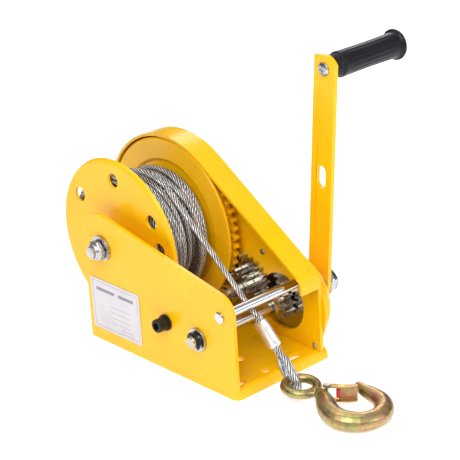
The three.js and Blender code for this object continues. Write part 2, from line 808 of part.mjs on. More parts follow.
// ---- crank and grip -----------------------------------------------------------
const ARM_AXIS = Math.PI / 2 + CRANK_LEAN;
const HANDLE = { y: 0, z: 0 };
[HANDLE.y, HANDLE.z] = [
  INPUT.y - CRANK_LENGTH * Math.sin(CRANK_LEAN),
  INPUT.z + CRANK_LENGTH * Math.cos(CRANK_LEAN),
];
const HANDLE_R = 5;

// A point given along and across the arm, measured from the input shaft.
function onArm(along, across) {
  const y = INPUT.y + along * Math.cos(ARM_AXIS) - across * Math.sin(ARM_AXIS);
  const z = INPUT.z + along * Math.sin(ARM_AXIS) + across * Math.cos(ARM_AXIS);
  return [y, z];
}

function crankArm() {
  const half = 14.2;
  const top = CRANK_LENGTH + 14.5;
  const roundTop = 17;
  const outline = [];
  for (let i = 0; i <= 12; i += 1) {
    const angle = Math.PI / 2 + Math.PI * i / 12;
    outline.push(onArm(half * Math.cos(angle), half * Math.sin(angle)));
  }
  outline.push(onArm(top - 3, -half), onArm(top - 1.6, 2.5 - half));
  for (let i = 0; i <= 8; i += 1) {
    const angle = Math.PI / 3 * i / 8;
    const along = top + roundTop * (Math.cos(angle) - 1);
    const across = half + roundTop * (Math.sin(angle) - Math.sin(Math.PI / 3));
    outline.push(onArm(along, across));
  }
  const slotHole = [];
  const slotMiddle = 122;
  const slotHalf = 6;
  const slotR = 6;
  for (const end of [1, -1]) {
    for (let i = 0; i <= 8; i += 1) {
      const angle = -end * Math.PI / 2 + end * Math.PI * i / 8;
      const along = slotMiddle + end * slotHalf + slotR * end * Math.abs(Math.cos(angle));
      slotHole.push(onArm(along, slotR * Math.sin(angle)));
    }
  }
  return pullX(shapeOf(outline, [
    circle(INPUT, HUB_SPIGOT_R + GAP), circle(HANDLE, HANDLE_R + GAP), slotHole,
  ]), CRANK_X, CRANK_X + CRANK_SHEET);
}

const HUB_R = 13.5;
const HUB_SPIGOT_R = 9;
const HUB_FLANGE_X = 68.6;

// Threaded hub: its flange presses the brake discs, its outer end carries the arm.
function crankHub() {
  const bore = SHAFT_R + GAP;
  return turnX([
    [bore, HUB_FLANGE_X], [27, HUB_FLANGE_X], [27, HUB_FLANGE_X + 3.6], [HUB_R, HUB_FLANGE_X + 3.6],
    [HUB_R, CRANK_X - GAP], [HUB_SPIGOT_R, CRANK_X - GAP], [HUB_SPIGOT_R, CRANK_X + CRANK_SHEET - 0.5],
    [bore, CRANK_X + CRANK_SHEET - 0.5], [bore, HUB_FLANGE_X],
  ], INPUT, ROUND);
}

const GRIP_X = [114, 207];
const GRIP_R = 13.2;
const GRIP_FLANGE_R = 16;

function grip() {
  const [x0, x1] = GRIP_X;
  const bore = HANDLE_R + 1.5 + 2 * GAP;
  const profile = [[bore, x0], [GRIP_R - 1, x0], [GRIP_R, x0 + 1]];
  const ribs = 3;
  for (let i = 0; i < ribs; i += 1) {
    const x = x0 + 16 + i * 22;
    profile.push([GRIP_R, x], [GRIP_R - 0.7, x + 0.8], [GRIP_R - 0.7, x + 2], [GRIP_R, x + 2.8]);
  }
  profile.push(
    [GRIP_R, x1 - 8], [GRIP_FLANGE_R - 1, x1 - 6], [GRIP_FLANGE_R, x1 - 4.5], [GRIP_FLANGE_R, x1 - 2],
    [GRIP_FLANGE_R - 2, x1], [0, x1], [0, x1 - 4], [bore, x1 - 4], [bore, x0],
  );
  return turnX(profile, HANDLE, ROUND);
}

function gripSleeve() {
  const bore = HANDLE_R + GAP;
  const tubeR = HANDLE_R + 1.5 + GAP;
  const [x0, x1] = GRIP_X;
  return turnX([
    [bore, x0 - 2.6], [GRIP_R - 1, x0 - 2.6], [GRIP_R - 1, x0 - GAP], [tubeR, x0 - GAP],
    [tubeR, x1 - 6], [bore, x1 - 6], [bore, x0 - 2.6],
  ], HANDLE, ROUND);
}

function handleBolt() {
  const left = CRANK_X - GAP;
  const headR = 7;
  const bolt = turnX([
    [0, left - 3.2], [headR * 0.6, left - 3.2], [headR, left - 1.4], [headR, left],
    [HANDLE_R, left], [HANDLE_R, GRIP_X[1] - 8], [0, GRIP_X[1] - 8],
  ], HANDLE, SMALL);
  const cross = [0, Math.PI / 2].map((turn) => {
    const long = 3.4;
    const wide = 0.8;
    const corners = [[long, wide], [-long, wide], [-long, -wide], [long, -wide]];
    return pullX(shapeOf(corners.map(([u, v]) => [
      HANDLE.y + u * Math.cos(turn) - v * Math.sin(turn),
      HANDLE.z + u * Math.sin(turn) + v * Math.cos(turn),
    ])), left - 4, left - 1.8);
  });
  return cut(bolt, ...cross);
}

// ---- rope lead, ferrule and thimble --------------------------------------------
// Centre line of the rope from the pack, behind the guide rod, down to the ferrule.
const LEAD = [
  [-2, 44.9, 164.5], [-3, 36.6, 159.1], [-4.1, 28.2, 153.7], [-5.1, 19.9, 148.2],
  [-6.1, 11.6, 142.8], [-7.2, 3.2, 137.4], [-8.2, -5.1, 132], [-9.2, -13.5, 126.6],
  [-10.3, -21.8, 121.2], [-12.3, -38.4, 110.3], [-14.4, -55.1, 99.5], [-16.4, -71.7, 88.6],
  [-18, -88.4, 77.8], [-18.2, -93.5, 73.9], [-18, -96.4, 71.1], [-17.6, -98.6, 68.7],
];
const FERRULE_TOP = new THREE.Vector3(-17.2, -99.8, 67.2);
const FERRULE_LOW = new THREE.Vector3(-13.6, -116.8, 43);
const CROWN = new THREE.Vector3(-15.8, -139.8, 16.8);
const EYE_ACROSS = new THREE.Vector3(-0.42, -0.68, 0.6);

function ropeLead() {
  const points = LEAD.map(([x, y, z]) => new THREE.Vector3(x, y, z));
  return tube(points, ROPE_R, 8, 30);
}

function frameAlong(a, b, side) {
  const along = b.clone().sub(a).normalize();
  const across = side.clone().addScaledVector(along, -side.dot(along)).normalize();
  return { along, across, normal: along.clone().cross(across).normalize() };
}

const FERRULE_HALF = [8.3, 6.2];

// Pressed sleeve, oval because it holds two runs of rope side by side.
function ferrule() {
  const { along, across, normal } = frameAlong(FERRULE_TOP, FERRULE_LOW, new THREE.Vector3(0, -1, 0.8));
  const length = FERRULE_TOP.distanceTo(FERRULE_LOW);
  const rings = [];
  const profile = [[0, 0.8], [0.06, 0.96], [0.12, 1], [0.88, 1], [0.94, 0.96], [1, 0.8]];
  for (const [t, scale] of profile) {
    const centre = FERRULE_TOP.clone().addScaledVector(along, t * length);
    const ring = [];
    for (let j = 0; j < SMALL; j += 1) {
      const angle = 2 * Math.PI * j / SMALL;
      ring.push(centre.clone()
        .addScaledVector(across, FERRULE_HALF[0] * scale * Math.cos(angle))
        .addScaledVector(normal, FERRULE_HALF[1] * scale * Math.sin(angle)));
    }
    rings.push(ring);
  }
  return loft(rings);
}

// Teardrop path of the eye in the rope: two legs and a round crown.
function eyePath(inset, legGap, shorten) {
  const radius = EYE_ROPE_R - inset;
  const legOut = EYE_ROPE_R * 0.78 - inset * 1.08;
  const { along, across } = frameAlong(FERRULE_LOW, CROWN, EYE_ACROSS);
  const points = [];
  const start = FERRULE_LOW.clone().addScaledVector(along, shorten);
  const reach = CROWN.distanceTo(FERRULE_LOW);
  points.push(start.clone().addScaledVector(across, legGap));
  points.push(FERRULE_LOW.clone().addScaledVector(along, reach * 0.42).addScaledVector(across, legOut));
  for (let i = 0; i <= 8; i += 1) {
    const angle = degrees(-8) + degrees(196) * i / 8;
    points.push(CROWN.clone()
      .addScaledVector(along, radius * Math.sin(angle))
      .addScaledVector(across, radius * Math.cos(angle)));
  }
  points.push(FERRULE_LOW.clone().addScaledVector(along, reach * 0.42).addScaledVector(across, -legOut));
  points.push(start.clone().addScaledVector(across, -legGap));
  return points;
}

const EYE_ROPE_R = 13;

function eyeRope() {
  return tube(eyePath(0, 3.6, 2.4), ROPE_R, 8, 36);
}

// Pressed steel channel that lines the eye of the rope.
function thimble() {
  const path = eyePath(ROPE_R + GAP + 0.8, 1.4, 6).slice(1, -1);
  const { across, along } = frameAlong(FERRULE_LOW, CROWN, EYE_ACROSS);
  const width = along.clone().cross(across).normalize();
  const curve = new THREE.CatmullRomCurve3(path, false, 'centripetal');
  const section = [[0.7, 3.4], [-0.7, 3.4], [-0.7, -3.4], [0.7, -3.4]];
  const steps = 30;
  const rings = [];
  for (let i = 0; i <= steps; i += 1) {
    const centre = curve.getPoint(i / steps);
    const out = curve.getTangent(i / steps).cross(width).normalize();
    rings.push(section.map(([u, v]) => centre.clone().addScaledVector(out, u).addScaledVector(width, v)));
  }
  return loft(rings);
}

// ---- hook and latch --------------------------------------------------------------
const HOOK_DOWN = BOWL.clone().sub(EYE_BACK).normalize();
const HOOK_UP = new THREE.Vector3(0, 0, 1).addScaledVector(HOOK_DOWN, -HOOK_DOWN.z).normalize();
const HOOK_SIDE = HOOK_DOWN.clone().cross(HOOK_UP).normalize().negate();
const EYE_RING_R = 15.8;
const EYE_BAR_R = 4.9;

// A point in the plane of the hook: side is towards the throat opening, back is
// from the middle of the bowl towards the eye.
function inHook(side, back, up = 0) {
  return BOWL.clone()
    .addScaledVector(HOOK_SIDE, side)
    .addScaledVector(HOOK_DOWN, -back)
    .addScaledVector(HOOK_UP, up);
}

function hookMatrix(origin) {
  const matrix = new THREE.Matrix4();
  matrix.makeBasis(HOOK_SIDE, HOOK_DOWN.clone().negate(), HOOK_UP);
  return matrix.setPosition(origin);
}

const PIVOT = { y: 5, z: 36 };
const PIVOT_R = 2;

function hook() {
  const centreLine = [
    [0, 45.5], [0, 41], [-3, 34], [-13, 24], [-23, 12], [-27, -3], [-20, -19], [-4, -27.4],
    [13, -24.4], [25, -13], [29.5, 2], [31.5, 12], [36.5, 22],
  ].map(([side, back]) => inHook(side, back));
  const radii = [5.2, 6.8, 8, 9.8, 11.2, 11.6, 10.9, 10.3, 9.8, 9.2, 8.2, 6.6, 4];
  const shank = bar(centreLine, radii, HOOK_UP, 0.85, 12, 32);
  const back = EYE_BACK.distanceTo(BOWL);
  const ring = new THREE.TorusGeometry(EYE_RING_R, EYE_BAR_R, 12, 28);
  ring.applyMatrix4(hookMatrix(inHook(0, back - EYE_RING_R)));
  const hole = pullZ(shapeOf(circle(PIVOT, PIVOT_R + GAP, 16)), -12, 12);
  hole.applyMatrix4(hookMatrix(BOWL));
  return cut(joined(shank, ring), hole);
}

const LATCH_IN = 7;
const LATCH_SHEET = 1.2;
const LATCH_END = { y: 21.6, z: 11.5 };

function latchPin() {
  const half = LATCH_IN + LATCH_SHEET + 0.4;
  const pin = pullZ(shapeOf(circle(PIVOT, PIVOT_R, 16)), -half, half);
  const headLow = pullZ(shapeOf(circle(PIVOT, PIVOT_R + 1.2, 16)), -half - 0.9, -half + 0.05);
  const headHigh = pullZ(shapeOf(circle(PIVOT, PIVOT_R + 1.2, 16)), half - 0.05, half + 0.9);
  return joined(pin, headLow, headHigh).applyMatrix4(hookMatrix(BOWL));
}

// Folded channel: two ears on the pin and a web that closes the throat.
function latch() {
  const dy = LATCH_END.y - PIVOT.y;
  const dz = LATCH_END.z - PIVOT.z;
  const long = Math.hypot(dy, dz);
  const local = (along, out) => [
    PIVOT.y + (along * dy - out * dz) / long,
    PIVOT.z + (along * dz + out * dy) / long,
  ];
  const ears = [];
  for (let i = 0; i <= 8; i += 1) {
    const angle = Math.PI / 2 + Math.PI * i / 8;
    ears.push(local(4 * Math.cos(angle), 4 * Math.sin(angle)));
  }
  ears.push(local(long * 0.75, -3.2), local(long, -1), local(long, 4));
  const bore = circle(PIVOT, PIVOT_R + GAP, 16);
  const high = LATCH_IN + LATCH_SHEET;
  const web = [local(12, 4), local(12, 4 - LATCH_SHEET), local(long, 4 - LATCH_SHEET), local(long, 4)];
  const parts = [
    pullZ(shapeOf(ears, [bore]), LATCH_IN, high),
    pullZ(shapeOf(ears, [bore]), -high, -LATCH_IN),
    pullZ(shapeOf(web), -high + 0.1, high - 0.1),
  ];
  return joined(...parts).applyMatrix4(hookMatrix(BOWL));
}

// ---- the assembly -----------------------------------------------------------------
function buildFrame() {
  add('frame_sheet', frameSheet(), 'yellow');
  add('right_housing', rightHousing(), 'yellow');
  add('guide_rod', guideRod(), 'polished');
  add('drum_bolt', hexBolt(DRUM, DRUM_BOLT_R, DRUM_BOLT_END, RIGHT_OUT + GAP, 19, 7.5), 'zinc');
  const nutX = [DRUM_NUT_X - DRUM_NUT_LONG, DRUM_NUT_X];
  add('drum_nut', hexNut(DRUM, 19, DRUM_BOLT_R + GAP, ...nutX, degrees(10)), 'zinc');
  add('drum_washer', dWasher(), 'zinc');
  const drumBore = DRUM_BOLT_R + GAP;
  add('drum_spacer_left', sleeve(11, drumBore, LEFT_IN + GAP, LEFT_FLANGE_X - GAP, DRUM), 'zinc');
  add('drum_spacer_right', sleeve(11, drumBore, DRUM_GEAR_X[1] + GAP, RIGHT_IN - GAP, DRUM), 'zinc');
  add('mid_boss', midBoss(), 'dark');
  add('mid_axle', rod(MID_AXLE_R, LEFT_OUT, RIGHT_OUT, MID), 'steel');
  add('brake_cover', brakeCover(), 'yellow');
  coverRivets().forEach((spot, i) => add(`cover_rivet_${i + 1}`, rivet(spot), 'zinc'));
  footRivets().forEach((spot, i) => add(`foot_rivet_${i + 1}`, rivet(spot), 'zinc'));
  add('pawl_pin', pawlPin(), 'steel');
  add('pawl_spring', pawlSpring(), 'zinc');
  add('label', labelPlate(), 'label');
  const washerX = [LEFT_OUT - GAP - 3, LEFT_OUT - GAP];
  add('input_washer', sleeve(12, SHAFT_R + GAP, ...washerX, INPUT), 'zinc');
  add('rope_lead', ropeLead(), 'rope');
  add('rope_eye', eyeRope(), 'rope');
  add('ferrule', ferrule(), 'aluminium');
  add('thimble', thimble(), 'blueZinc');
}

function labelPlate() {
  const outline = [[28.8, 14], [105.6, 14], [105.6, 71], [28.8, 71]];
  return pullX(shapeOf(outline), LEFT_OUT - 0.7, LEFT_OUT - GAP);
}

function buildDrum() {
  const hubBore = DRUM_BOLT_R + GAP;
  add('drum_flange_left', leftFlange(), 'yellow');
  add('drum_flange_right', rightFlange(), 'yellow');
  add('drum_core', sleeve(CORE_R, CORE_R - 3, ...CORE_X, DRUM, FINE), 'yellow');
  add('drum_gear', drumGear(), 'yellow');
  add('drum_bush', sleeve(DRUM_BOLT_R + 4, hubBore, LEFT_FLANGE_X, DRUM_GEAR_X[1], DRUM), 'bronze');
  add('rope_pack', ropePack(), 'rope');
  add('rope_clamp', ropeClamp(), 'zinc');
}

function buildGears() {
  add('mid_gear', midGear(), 'steel');
  add('mid_pinion', midPinion(), 'steel');
  const midBore = MID_AXLE_R + GAP;
  add('mid_collar', sleeve(10, midBore, 18, MID_PINION_X[0] - GAP, MID), 'steel');
  add('mid_spacer', sleeve(8, midBore, LEFT_IN + GAP, 18 - GAP, MID), 'steel');
  add('input_shaft', inputShaft(), 'steel');
  add('input_pinion', inputPinion(), 'steel');
  add('input_collar', sleeve(11, SHAFT_R + GAP, 33, INPUT_PINION_X[0] - GAP, INPUT), 'steel');
  add('input_clip', clip(), 'dark');
}

function buildBrake() {
  add('brake_disc', brakeDisc(), 'steel');
  const boreR = 11 + GAP;
  add('lining_inner', sleeve(26, boreR, 59.9, RATCHET_X[0] - GAP, INPUT), 'lining');
  add('ratchet_wheel', ratchetWheel(), 'steel');
  add('lining_outer', sleeve(26, boreR, RATCHET_X[1] + GAP, HUB_FLANGE_X - GAP, INPUT), 'lining');
  add('pawl', pawl(), 'steel');
}

function buildCrank() {
  add('crank_hub', crankHub(), 'steel');
  add('crank_arm', crankArm(), 'yellow');
  const armOut = CRANK_X + CRANK_SHEET;
  add('crank_washer', sleeve(14.5, SHAFT_R + GAP, armOut + GAP, armOut + 2.8, INPUT), 'zinc');
  add('crank_nut', hexNut(INPUT, 22, SHAFT_R + GAP, armOut + 3.1, armOut + 14, degrees(8)), 'blueZinc');
  add('handle_bolt', handleBolt(), 'zinc');
  add('handle_nut', hexNut(HANDLE, 14, HANDLE_R + GAP, armOut + GAP, armOut + 3, degrees(5)), 'zinc');
  add('grip', grip(), 'rubber');
  add('grip_sleeve', gripSleeve(), 'dark');
}

function buildHook() {
  add('hook', hook(), 'yellowZinc');
  add('latch_pin', latchPin(), 'zinc');
  add('latch', latch(), 'yellowZinc');
}

buildFrame();
buildDrum();
buildGears();
buildBrake();
buildCrank();
buildHook();

export default model;
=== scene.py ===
# Boat trailer winch: camera, light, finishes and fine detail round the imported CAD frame.
# Metres in Blender. Places are written in millimetres from the middle of the winch's base,
# X along the drum and -Y to the front, and at() turns them into the frame's metres.
import json
import math

import bpy
from mathutils import Matrix, Vector, noise


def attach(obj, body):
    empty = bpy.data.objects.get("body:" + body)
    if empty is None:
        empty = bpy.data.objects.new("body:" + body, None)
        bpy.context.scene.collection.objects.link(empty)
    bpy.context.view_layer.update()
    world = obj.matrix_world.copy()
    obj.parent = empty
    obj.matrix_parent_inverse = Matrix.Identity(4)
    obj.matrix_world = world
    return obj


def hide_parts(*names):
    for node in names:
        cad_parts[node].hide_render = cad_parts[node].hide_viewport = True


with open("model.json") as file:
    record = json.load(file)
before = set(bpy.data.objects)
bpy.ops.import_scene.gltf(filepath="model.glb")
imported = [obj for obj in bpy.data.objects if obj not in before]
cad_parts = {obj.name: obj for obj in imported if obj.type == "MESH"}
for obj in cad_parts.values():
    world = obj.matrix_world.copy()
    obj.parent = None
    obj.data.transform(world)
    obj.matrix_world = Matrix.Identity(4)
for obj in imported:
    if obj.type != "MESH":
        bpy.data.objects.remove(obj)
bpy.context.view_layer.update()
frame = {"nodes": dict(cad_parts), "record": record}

MM = 0.001
TO_ORIGIN = Vector((-64.5, -32.96, 0.0))

# ---- places on the winch, as in the CAD source ---------------------------------
DRUM = (82.0, 107.5)
INPUT = (-59.5, 51.0)
MID = (-12.1334, 54.5576)
CRANK_LENGTH = 237.0
CRANK_LEAN = math.radians(5)
HANDLE = (
    INPUT[0] - CRANK_LENGTH * math.sin(CRANK_LEAN),
    INPUT[1] + CRANK_LENGTH * math.cos(CRANK_LEAN),
)

ROPE_R = 3.0
ROPE_LAY = 34.0
STRANDS = 6
STRAND_R = 0.99
STRAND_AT = 2.0

CORE_R = 50.0
EXIT_ANGLE = 123.06
EXIT_RADIUS = 68.0
LEAD = [
    (-2, 44.9, 164.5), (-3, 36.6, 159.1), (-4.1, 28.2, 153.7), (-5.1, 19.9, 148.2),
    (-6.1, 11.6, 142.8), (-7.2, 3.2, 137.4), (-8.2, -5.1, 132), (-9.2, -13.5, 126.6),
    (-10.3, -21.8, 121.2), (-12.3, -38.4, 110.3), (-14.4, -55.1, 99.5), (-16.4, -71.7, 88.6),
    (-18, -88.4, 77.8), (-18.2, -93.5, 73.9), (-18, -96.4, 71.1),
]
FERRULE_TOP = Vector((-17.2, -99.8, 67.2))
FERRULE_LOW = Vector((-13.6, -116.8, 43.0))
CROWN = Vector((-15.8, -139.8, 16.8))
EYE_ROPE_R = 13.0
FERRULE_HALF = (8.3, 6.2)
LEG_GAP = 3.6

GRIP_X = (114.0, 207.0)
GRIP_R = 13.2
GRIP_FLANGE_R = 16.0

EYE_BACK = Vector((-20.0, -138.2, 15.7))
BOWL = Vector((-8.0, -215.3, 10.9))
HOOK_DOWN = (BOWL - EYE_BACK).normalized()
HOOK_UP = (Vector((0, 0, 1)) - HOOK_DOWN * HOOK_DOWN.z).normalized()
HOOK_SIDE = HOOK_UP.cross(HOOK_DOWN).normalized()
PIVOT_SIDE, PIVOT_BACK = 5.0, 36.0
LATCH_END_SIDE, LATCH_END_BACK = 21.6, 11.5
LATCH_PIVOT = BOWL + HOOK_SIDE * PIVOT_SIDE - HOOK_DOWN * PIVOT_BACK


def at(x, y, z):
    return (Vector((x, y, z)) + TO_ORIGIN) * MM


def place(point):
    return (Vector(point) + TO_ORIGIN) * MM


# ---- camera, floor and light -----------------------------------------------------
LOOK_AT = Vector((-0.04985, -0.06146, 0.13278))
CAMERA_TURN = math.radians(-41.4926)
CAMERA_LIFT = math.radians(22.870)
CAMERA_ROLL = math.radians(-3.4787)
CAMERA_DISTANCE = 1.73563
CAMERA_LENS = 136.88


def make_camera():
    back = Vector((
        math.sin(CAMERA_TURN) * math.cos(CAMERA_LIFT),
        -math.cos(CAMERA_TURN) * math.cos(CAMERA_LIFT),
        math.sin(CAMERA_LIFT),
    ))
    level = Vector((math.cos(CAMERA_TURN), math.sin(CAMERA_TURN), 0.0))
    right = (Matrix.Rotation(CAMERA_ROLL, 3, back) @ level).normalized()
    up = back.cross(right)
    data = bpy.data.cameras.new("camera")
    data.lens = CAMERA_LENS
    data.clip_start = 0.05
    data.clip_end = 60.0
    camera = bpy.data.objects.new("camera", data)
    camera.matrix_world = Matrix.Translation(LOOK_AT + back * CAMERA_DISTANCE) @ Matrix(
        (right, up, back)).transposed().to_4x4()
    bpy.context.scene.collection.objects.link(camera)
    bpy.context.scene.camera = camera


def soft_light(name, towards, distance, size, power, tint=(1.0, 1.0, 1.0)):
    """A square softbox that shines on the winch from a direction (right, front, up)."""
    direction = Vector(towards).normalized()
    data = bpy.data.lights.new(name, "AREA")
    data.shape = "RECTANGLE"
    data.size = size[0]
    data.size_y = size[1]
    data.energy = power
    data.color = tint
    light = bpy.data.objects.new(name, data)
    light.location = direction * distance + Vector((0, 0, 0.12))
    light.rotation_euler = (-direction).to_track_quat("-Z", "Y").to_euler()
    bpy.context.scene.collection.objects.link(light)


def make_studio():
    scene = bpy.context.scene
    scene.view_settings.view_transform = "Standard"
    world = bpy.data.worlds.new("studio")
    world.use_nodes = True
    tree = world.node_tree
    sky = tree.nodes["Background"]
    coords = tree.nodes.new("ShaderNodeTexCoord")
    split = tree.nodes.new("ShaderNodeSeparateXYZ")
    ramp = tree.nodes.new("ShaderNodeValToRGB")
    tree.links.new(coords.outputs["Generated"], split.inputs[0])
    tree.links.new(split.outputs["Z"], ramp.inputs[0])
    tree.links.new(ramp.outputs[0], sky.inputs["Color"])
    stops = [(0.0, 0.6), (0.04, 0.6), (0.12, 0.1), (0.42, 0.15), (0.6, 0.8), (0.8, 0.7), (1.0, 0.35)]
    fill_ramp(ramp, [(position, (value, value, value)) for position, value in stops])
    sky.inputs["Strength"].default_value = 0.7
    scene.world = world
    soft_light("key", (-1.1, -0.75, 1.25), 1.7, (1.1, 1.1), 20.5)
    soft_light("front", (0.55, -1.6, 0.75), 1.9, (1.3, 0.7), 9.0)
    soft_light("top", (0.2, 0.35, 1.6), 1.7, (1.2, 1.2), 8.5)
    soft_light("back_edge", (1.2, 1.0, 0.8), 2.0, (0.5, 1.3), 7.0)


def make_floor():
    half = 6.0
    mesh = bpy.data.meshes.new("floor")
    mesh.from_pydata(
        [(-half, -half, 0), (half, -half, 0), (half, half, 0), (-half, half, 0)], [], [(0, 1, 2, 3)])
    floor = bpy.data.objects.new("floor", mesh)
    bpy.context.scene.collection.objects.link(floor)
    pale = Finish("floor_pale", (0.9, 0.9, 0.9), 0.75, Emission_Strength=0.55)
    pale.set("Emission Color", (1.0, 1.0, 1.0, 1.0))
    floor.data.materials.append(pale.material)


# ---- materials -------------------------------------------------------------------
def fill_ramp(node, stops):
    elements = node.color_ramp.elements
    while len(elements) < len(stops):
        elements.new(0.5)
    for element, (position, color) in zip(elements, stops):
        element.position = position
        element.color = (*color, 1.0)


class Finish:
    """One Principled material, with procedural layers in the piece's own coordinates."""

    def __init__(self, name, color, roughness, metallic=0.0, **sockets):
        self.material = bpy.data.materials.new(name)
        self.material.use_nodes = True
        self.tree = self.material.node_tree
        self.shader = self.tree.nodes["Principled BSDF"]
        self.set("Base Color", (*color, 1.0))
        self.set("Roughness", roughness)
        self.set("Metallic", metallic)
        for socket, value in sockets.items():
            self.set(socket.replace("_", " "), value)
        self.coords = self.node("ShaderNodeTexCoord").outputs["Object"]

    def set(self, socket, value):
        self.shader.inputs[socket].default_value = value

    def node(self, kind, **values):
        made = self.tree.nodes.new(kind)
        for name, value in values.items():
            setattr(made, name, value)
        return made

    def link(self, source, target):
        if isinstance(source, (int, float)):
            target.default_value = source
        else:
            self.tree.links.new(source, target)

    def noise(self, scale, detail=2.0, stretch=(1, 1, 1), distortion=0.0):
        """Noise from 0 to 1; scale is patches per metre, and stretch multiplies it along each axis."""
        mapping = self.node("ShaderNodeMapping")
        mapping.inputs["Scale"].default_value = stretch
        self.link(self.coords, mapping.inputs["Vector"])
        made = self.node("ShaderNodeTexNoise")
        made.inputs["Scale"].default_value = scale
        made.inputs["Detail"].default_value = detail
        made.inputs["Distortion"].default_value = distortion
        self.link(mapping.outputs[0], made.inputs["Vector"])
        return made.outputs["Fac"]

    def cells(self, scale, feature="F1"):
        made = self.node("ShaderNodeTexVoronoi", feature=feature)
        made.inputs["Scale"].default_value = scale
        self.link(self.coords, made.inputs["Vector"])
        return made.outputs["Distance"]

    def math(self, operation, a, b=0.0, c=0.0):
        made = self.node("ShaderNodeMath", operation=operation)
        for value, socket in zip((a, b, c), made.inputs):
            self.link(value, socket)
        return made.outputs[0]

    def remap(self, value, low, high, to_low=0.0, to_high=1.0):
        made = self.node("ShaderNodeMapRange", interpolation_type="SMOOTHSTEP")
        for number, socket in zip((low, high, to_low, to_high), list(made.inputs)[1:5]):
            socket.default_value = number
        self.link(value, made.inputs[0])
        return made.outputs[0]

    def ramp(self, value, stops):
        made = self.node("ShaderNodeValToRGB")
        fill_ramp(made, stops)
        self.link(value, made.inputs[0])
        return made.outputs[0]

    def mix(self, amount, a, b):
        made = self.node("ShaderNodeMix", data_type="RGBA")
        self.link(amount, made.inputs["Factor"])
        for value, socket in ((a, made.inputs[6]), (b, made.inputs[7])):
            if isinstance(value, tuple):
                socket.default_value = (*value, 1.0)
            else:
                self.link(value, socket)
        return made.outputs[2]

    def axis(self, name):
        split = self.node("ShaderNodeSeparateXYZ")
        self.link(self.coords, split.inputs[0])
        return split.outputs[name]

    def from_axle(self, centre):
        """Distance in metres from a line along X through a centre (y, z) in millimetres."""
        middle = at(0, *centre)
        y = self.math("SUBTRACT", self.axis("Y"), middle.y)
        z = self.math("SUBTRACT", self.axis("Z"), middle.z)
        square = self.math("ADD", self.math("MULTIPLY", y, y), self.math("MULTIPLY", z, z))
        return self.math("SQRT", square)

    def inside(self, value, low, high):
        """1 where the value lies between low and high, and 0 elsewhere."""
        return self.math("COMPARE", value, (low + high) / 2, (high - low) / 2)

    def color(self, socket):
        self.link(socket, self.shader.inputs["Base Color"])

    def rough(self, socket):
        self.link(socket, self.shader.inputs["Roughness"])

    def bump(self, height, distance, strength=1.0):
        made = self.node("ShaderNodeBump")
        made.inputs["Strength"].default_value = strength
        made.inputs["Distance"].default_value = distance
        self.link(height, made.inputs["Height"])
        self.link(made.outputs[0], self.shader.inputs["Normal"])


YELLOW = (0.95, 0.525, 0.001)
YELLOW_DEEP = (0.94, 0.485, 0.001)
GREASE = (0.16, 0.085, 0.02)


def powder_coat(name):
    """Glossy yellow powder coat: orange peel, slow changes of tone and gloss, a little dust."""
    paint = Finish(name, YELLOW, 0.32, Coat_Weight=0.16, Coat_Roughness=0.1, Specular_IOR_Level=0.3)
    tone = paint.noise(14.0, 3.0)
    specks = paint.remap(paint.cells(520.0), 0.04, 0.09, 1.0, 0.0)
    color = paint.mix(paint.remap(tone, 0.35, 0.7), YELLOW, YELLOW_DEEP)
    rare = paint.math("MULTIPLY", specks, paint.remap(paint.noise(60.0, 2.0), 0.62, 0.7))
    paint.color(paint.mix(paint.math("MULTIPLY", rare, 0.22), color, GREASE))
    paint.rough(paint.remap(paint.noise(45.0, 4.0), 0.3, 0.75, 0.24, 0.38))
    peel = paint.noise(520.0, 2.0)
    paint.bump(peel, 0.00016, 0.35)
    return paint


def gear_paint():
    """The painted drum gear: coated, then rubbed and greased at its teeth."""
    paint = powder_coat("gear_paint")
    radius = paint.from_axle(DRUM)
    teeth = paint.remap(radius, 0.0835, 0.0858)
    smear = paint.math("MULTIPLY", teeth, paint.remap(paint.noise(130.0, 3.0), 0.42, 0.68))
    coated = paint.mix(paint.remap(paint.noise(14.0, 3.0), 0.35, 0.7), YELLOW, YELLOW_DEEP)
    paint.color(paint.mix(paint.math("MULTIPLY", smear, 0.4), coated, GREASE))
    return paint


def turned_steel(name, color, roughness, centre, grease=0.22):
    """Bright turned steel: fine tool rings round an axle, oil film in patches."""
    steel = Finish(name, color, roughness, 1.0)
    rings = steel.math("SINE", steel.math("MULTIPLY", steel.from_axle(centre), 9000.0))
    lines = steel.math("SINE", steel.math("MULTIPLY", steel.axis("X"), 7500.0))
    film = steel.remap(steel.noise(70.0, 2.0), 0.35, 0.75)
    oily = tuple(c * d for c, d in zip(color, (0.42, 0.36, 0.27)))
    steel.color(steel.mix(steel.math("MULTIPLY", film, grease), color, oily))
    steel.rough(steel.remap(steel.noise(60.0, 2.0), 0.3, 0.7, roughness * 0.9, roughness * 1.2))
    steel.bump(steel.math("ADD", rings, lines), 0.000004, 0.1)
    return steel


def polished_rod():
    rod = Finish("polished_rod", (0.58, 0.59, 0.61), 0.12, 1.0)
    rod.rough(rod.remap(rod.noise(60.0, 3.0, (0.15, 1, 1)), 0.35, 0.7, 0.08, 0.17))
    scratches = rod.noise(900.0, 2.0, (0.04, 1, 1))
    rod.bump(scratches, 0.00002, 0.3)
    return rod


def plated(name, color, second, roughness):
    """Zinc plating: faint spangle, passivation tint and small dents."""
    zinc = Finish(name, color, roughness, 1.0)
    tint = zinc.remap(zinc.noise(110.0, 3.0), 0.35, 0.68)
    zinc.color(zinc.mix(tint, color, second))
    zinc.rough(zinc.remap(zinc.noise(300.0, 3.0), 0.3, 0.7, roughness * 0.8, roughness * 1.3))
    zinc.bump(zinc.noise(650.0, 3.0), 0.00012, 0.35)
    return zinc


